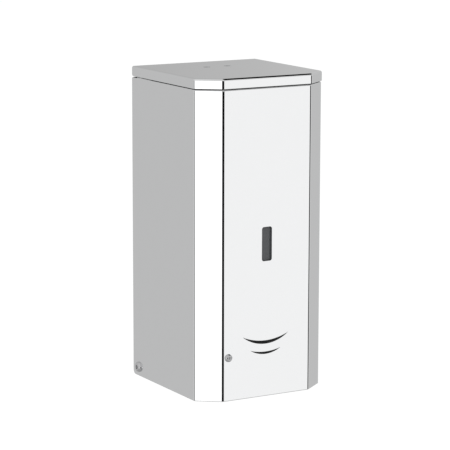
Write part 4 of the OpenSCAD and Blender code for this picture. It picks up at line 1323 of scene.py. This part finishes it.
@dataclass
class Studio:
    """Camera, pale floor, soft lights and the surroundings that the polished steel mirrors."""

    azimuth: float = -29.95
    elevation: float = 10.377
    roll: float = 0.123
    distance: float = 1.9393
    lens: float = 174.5
    target: tuple = (0.00006, -0.056, -0.0001)
    floor_z: float = -0.5
    floor_r: float = 1.15

    def camera(self) -> None:
        """A long lens a little above and to the left of the front."""
        a, e = math.radians(self.azimuth), math.radians(self.elevation)
        back = Vector((math.sin(a) * math.cos(e), -math.cos(a) * math.cos(e), math.sin(e)))
        data = bpy.data.cameras.new("camera")
        data.lens = self.lens
        data.sensor_width = 36.0
        data.clip_start, data.clip_end = 0.05, 50
        camera = bpy.data.objects.new("camera", data)
        bpy.context.scene.collection.objects.link(camera)
        camera.rotation_mode = "QUATERNION"
        turn = (-back).to_track_quat("-Z", "Y")
        camera.rotation_quaternion = Quaternion(back, math.radians(self.roll)) @ turn
        camera.location = Vector(self.target) + back * self.distance
        bpy.context.scene.camera = camera

    def floor(self) -> None:
        """A round pale floor well below the wall part: points (r cos a, r sin a)."""
        a = np.linspace(0, 2 * np.pi, 96, endpoint=False)
        ring = np.column_stack([self.floor_r * np.cos(a), self.floor_r * np.sin(a),
                                np.full(96, self.floor_z)])
        floor = make_mesh("floor", ring, [list(range(96))])
        n = Nodes("floor_white")
        n.link(n.span(n.noise(3), 0.6, 0.7), n.shader.inputs["Roughness"])
        n.set(Base_Color=(0.92, 0.92, 0.92, 1), Emission_Color=(1, 1, 1, 1), Emission_Strength=0.62)
        n.see_through_from_behind()
        floor.data.materials.append(n.material)
        floor.visible_glossy = False

    def light(self, name: str, place: tuple, size: float, power: float) -> None:
        """A soft square lamp aimed at the part, not mirrored by the steel.

        Args:
            name: the lamp's name.
            place: where it stands, in metres.
            size: its side in metres.
            power: its power in watts.
        """
        data = bpy.data.lights.new(name, "AREA")
        data.size = size
        data.energy = power
        lamp = bpy.data.objects.new(name, data)
        bpy.context.scene.collection.objects.link(lamp)
        lamp.location = place
        lamp.rotation_mode = "QUATERNION"
        lamp.rotation_quaternion = (-Vector(place)).to_track_quat("-Z", "Y")
        lamp.visible_glossy = False
        lamp.visible_camera = False

    def as_share(self, add: Callable, link: Callable, axes: bpy.types.Node) -> bpy.types.NodeSocket:
        """The ray's height from -1 to 1 as a share from 0 to 1.

        Args:
            add: makes a node of the world.
            link: joins two sockets.
            axes: the node that gives the ray's x, y and z.

        Returns:
            The share's socket.
        """
        share = add("ShaderNodeMapRange", i1=-1, i2=1)
        link(axes.outputs["Z"], share.inputs["Value"])
        return share.outputs[0]

    def surroundings(self) -> None:
        """Studio walls as bands of brightness round the compass, seen only by reflections and as soft light.

        A band's place is the turn atan2(x, -y) in degrees: 0 straight ahead of the front, 90 to its right.
        A height ramp's places run from -180 for straight down to 180 for straight up. By height, bright and
        dark strips stand just under eye level, a dark canopy hangs high on the right, even ground lies
        below and soft walls fill the rest.
        """
        strips = [(-180, 0.53), (-124, 0.55), (-118, 0.75), (-108, 0.75), (-103, 0.12), (-88, 0.12),
                  (-82, 0.9), (-60, 1.3), (-40, 1.3), (-35, 0.005), (24, 0.005), (27, 0.98), (36, 0.98),
                  (39, 0.01), (72, 0.01), (75, 0.9), (86, 0.8), (92, 0.53), (136, 0.58), (180, 0.53)]
        walls = [(-180, 0.5), (-120, 0.6), (-60, 0.7), (0, 0.62), (60, 0.72), (110, 0.55), (136, 0.58),
                 (146, 0.58), (149, 0.5), (154, 0.43), (180, 0.5)]
        canopy = [(-180, 0), (33, 0), (35, 1), (144, 1), (148, 0), (180, 0)]
        world = bpy.data.worlds.new("studio")
        world.use_nodes = True
        tree = world.node_tree
        tree.nodes.clear()

        def add(kind: str, operation: str = "", **values) -> bpy.types.Node:
            """Adds a world node.

            Args:
                kind: the node's type.
                operation: what a Math node does, or nothing.
                values: socket values, named i and the socket's number.

            Returns:
                The node.
            """
            node = tree.nodes.new(kind)
            if operation:
                node.operation = operation
            for key, value in values.items():
                node.inputs[int(key[1:])].default_value = value
            return node

        def ramp(stops: list, value: bpy.types.NodeSocket) -> bpy.types.Node:
            """Brightness along a share from 0 to 1.

            Args:
                stops: (place from -180 to 180, brightness), the first and last at the ends.
                value: the share's socket.

            Returns:
                The ramp's node.
            """
            node = tree.nodes.new("ShaderNodeValToRGB")
            elements = node.color_ramp.elements
            for degrees, bright in stops[1:-1]:
                elements.new((degrees + 180) / 360).color = (bright, bright, bright, 1)
            for end in (0, -1):
                elements[end].color = (*[stops[end][1]] * 3, 1)
            tree.links.new(value, node.inputs["Fac"])
            return node

        link = tree.links.new
        axes = add("ShaderNodeSeparateXYZ")
        link(add("ShaderNodeTexCoord").outputs["Generated"], axes.inputs["Vector"])
        flip, turn = add("ShaderNodeMath", "MULTIPLY", i1=-1), add("ShaderNodeMath", "ARCTAN2")
        link(axes.outputs["Y"], flip.inputs[0])
        link(axes.outputs["X"], turn.inputs[0])
        link(flip.outputs[0], turn.inputs[1])
        share = add("ShaderNodeMapRange", i1=-math.pi, i2=math.pi)
        link(turn.outputs[0], share.inputs["Value"])
        height = self.as_share(add, link, axes)

        def over(under: bpy.types.NodeSocket, cover: bpy.types.NodeSocket | tuple,
                 weight: bpy.types.NodeSocket) -> bpy.types.NodeSocket:
            """Lays one brightness over another.

            Args:
                under: what lies below.
                cover: what lies on top, a socket or a plain colour.
                weight: how much of the cover shows, from 0 to 1.

            Returns:
                The mixed colour's socket.
            """
            mix = tree.nodes.new("ShaderNodeMixRGB")
            for value, socket in ((weight, mix.inputs[0]), (under, mix.inputs[1]), (cover, mix.inputs[2])):
                if isinstance(value, tuple):
                    socket.default_value = value
                else:
                    link(value, socket)
            return mix.outputs[0]

        level = ramp([(-180, 0), (-54, 0), (-52, 1), (-12, 1), (-10, 0), (180, 0)], height).outputs[0]
        aloft = ramp([(-180, 0), (89, 0), (91, 1), (178, 1), (179, 0), (180, 0)], height).outputs[0]
        ground = ramp([(-180, 1), (-96, 1), (-60, 0), (180, 0)], height).outputs[0]
        hung = add("ShaderNodeMath", "MULTIPLY")
        link(aloft, hung.inputs[0])
        link(ramp(canopy, share.outputs[0]).outputs[0], hung.inputs[1])
        bands = [ramp(stops, share.outputs[0]).outputs[0] for stops in (walls, strips)]
        lit = over(over(*bands, level), (0.42, 0.42, 0.42, 1), ground)
        lit = over(lit, (0, 0, 0, 1), hung.outputs[0])
        seen, mirrored = add("ShaderNodeBackground"), add("ShaderNodeBackground")
        mix, out = add("ShaderNodeMixShader"), add("ShaderNodeOutputWorld")
        seen.inputs["Color"].default_value = (1, 1, 1, 1)
        seen.inputs["Strength"].default_value = 1.02
        link(lit, mirrored.inputs["Color"])
        link(add("ShaderNodeLightPath").outputs["Is Camera Ray"], mix.inputs["Fac"])
        link(mirrored.outputs[0], mix.inputs[1])
        link(seen.outputs[0], mix.inputs[2])
        link(mix.outputs[0], out.inputs["Surface"])
        bpy.context.scene.world = world

    def build(self) -> None:
        """Sets up everything that isn't the dispenser."""
        self.camera()
        self.floor()
        self.surroundings()
        self.light("key", (-1.2, -1.6, 1.6), 1.2, 26)
        self.light("fill", (1.5, -1.0, 0.8), 1.4, 14)
        self.light("under", (0.2, -0.8, -0.45), 0.8, 5)
        bpy.context.scene.view_settings.view_transform = "Standard"



def main() -> None:
    """Builds the studio and every sub-assembly in order."""
    Studio().build()
    palette = Palette()
    for part in (WallSide, Cover, Lid, Latch, SoapPath, Pump, Electrics):
        LOG.info("building %s", part.__name__)
        part(palette).build()


if __name__ == "__main__":
    logging.basicConfig(level=logging.INFO)
    main()
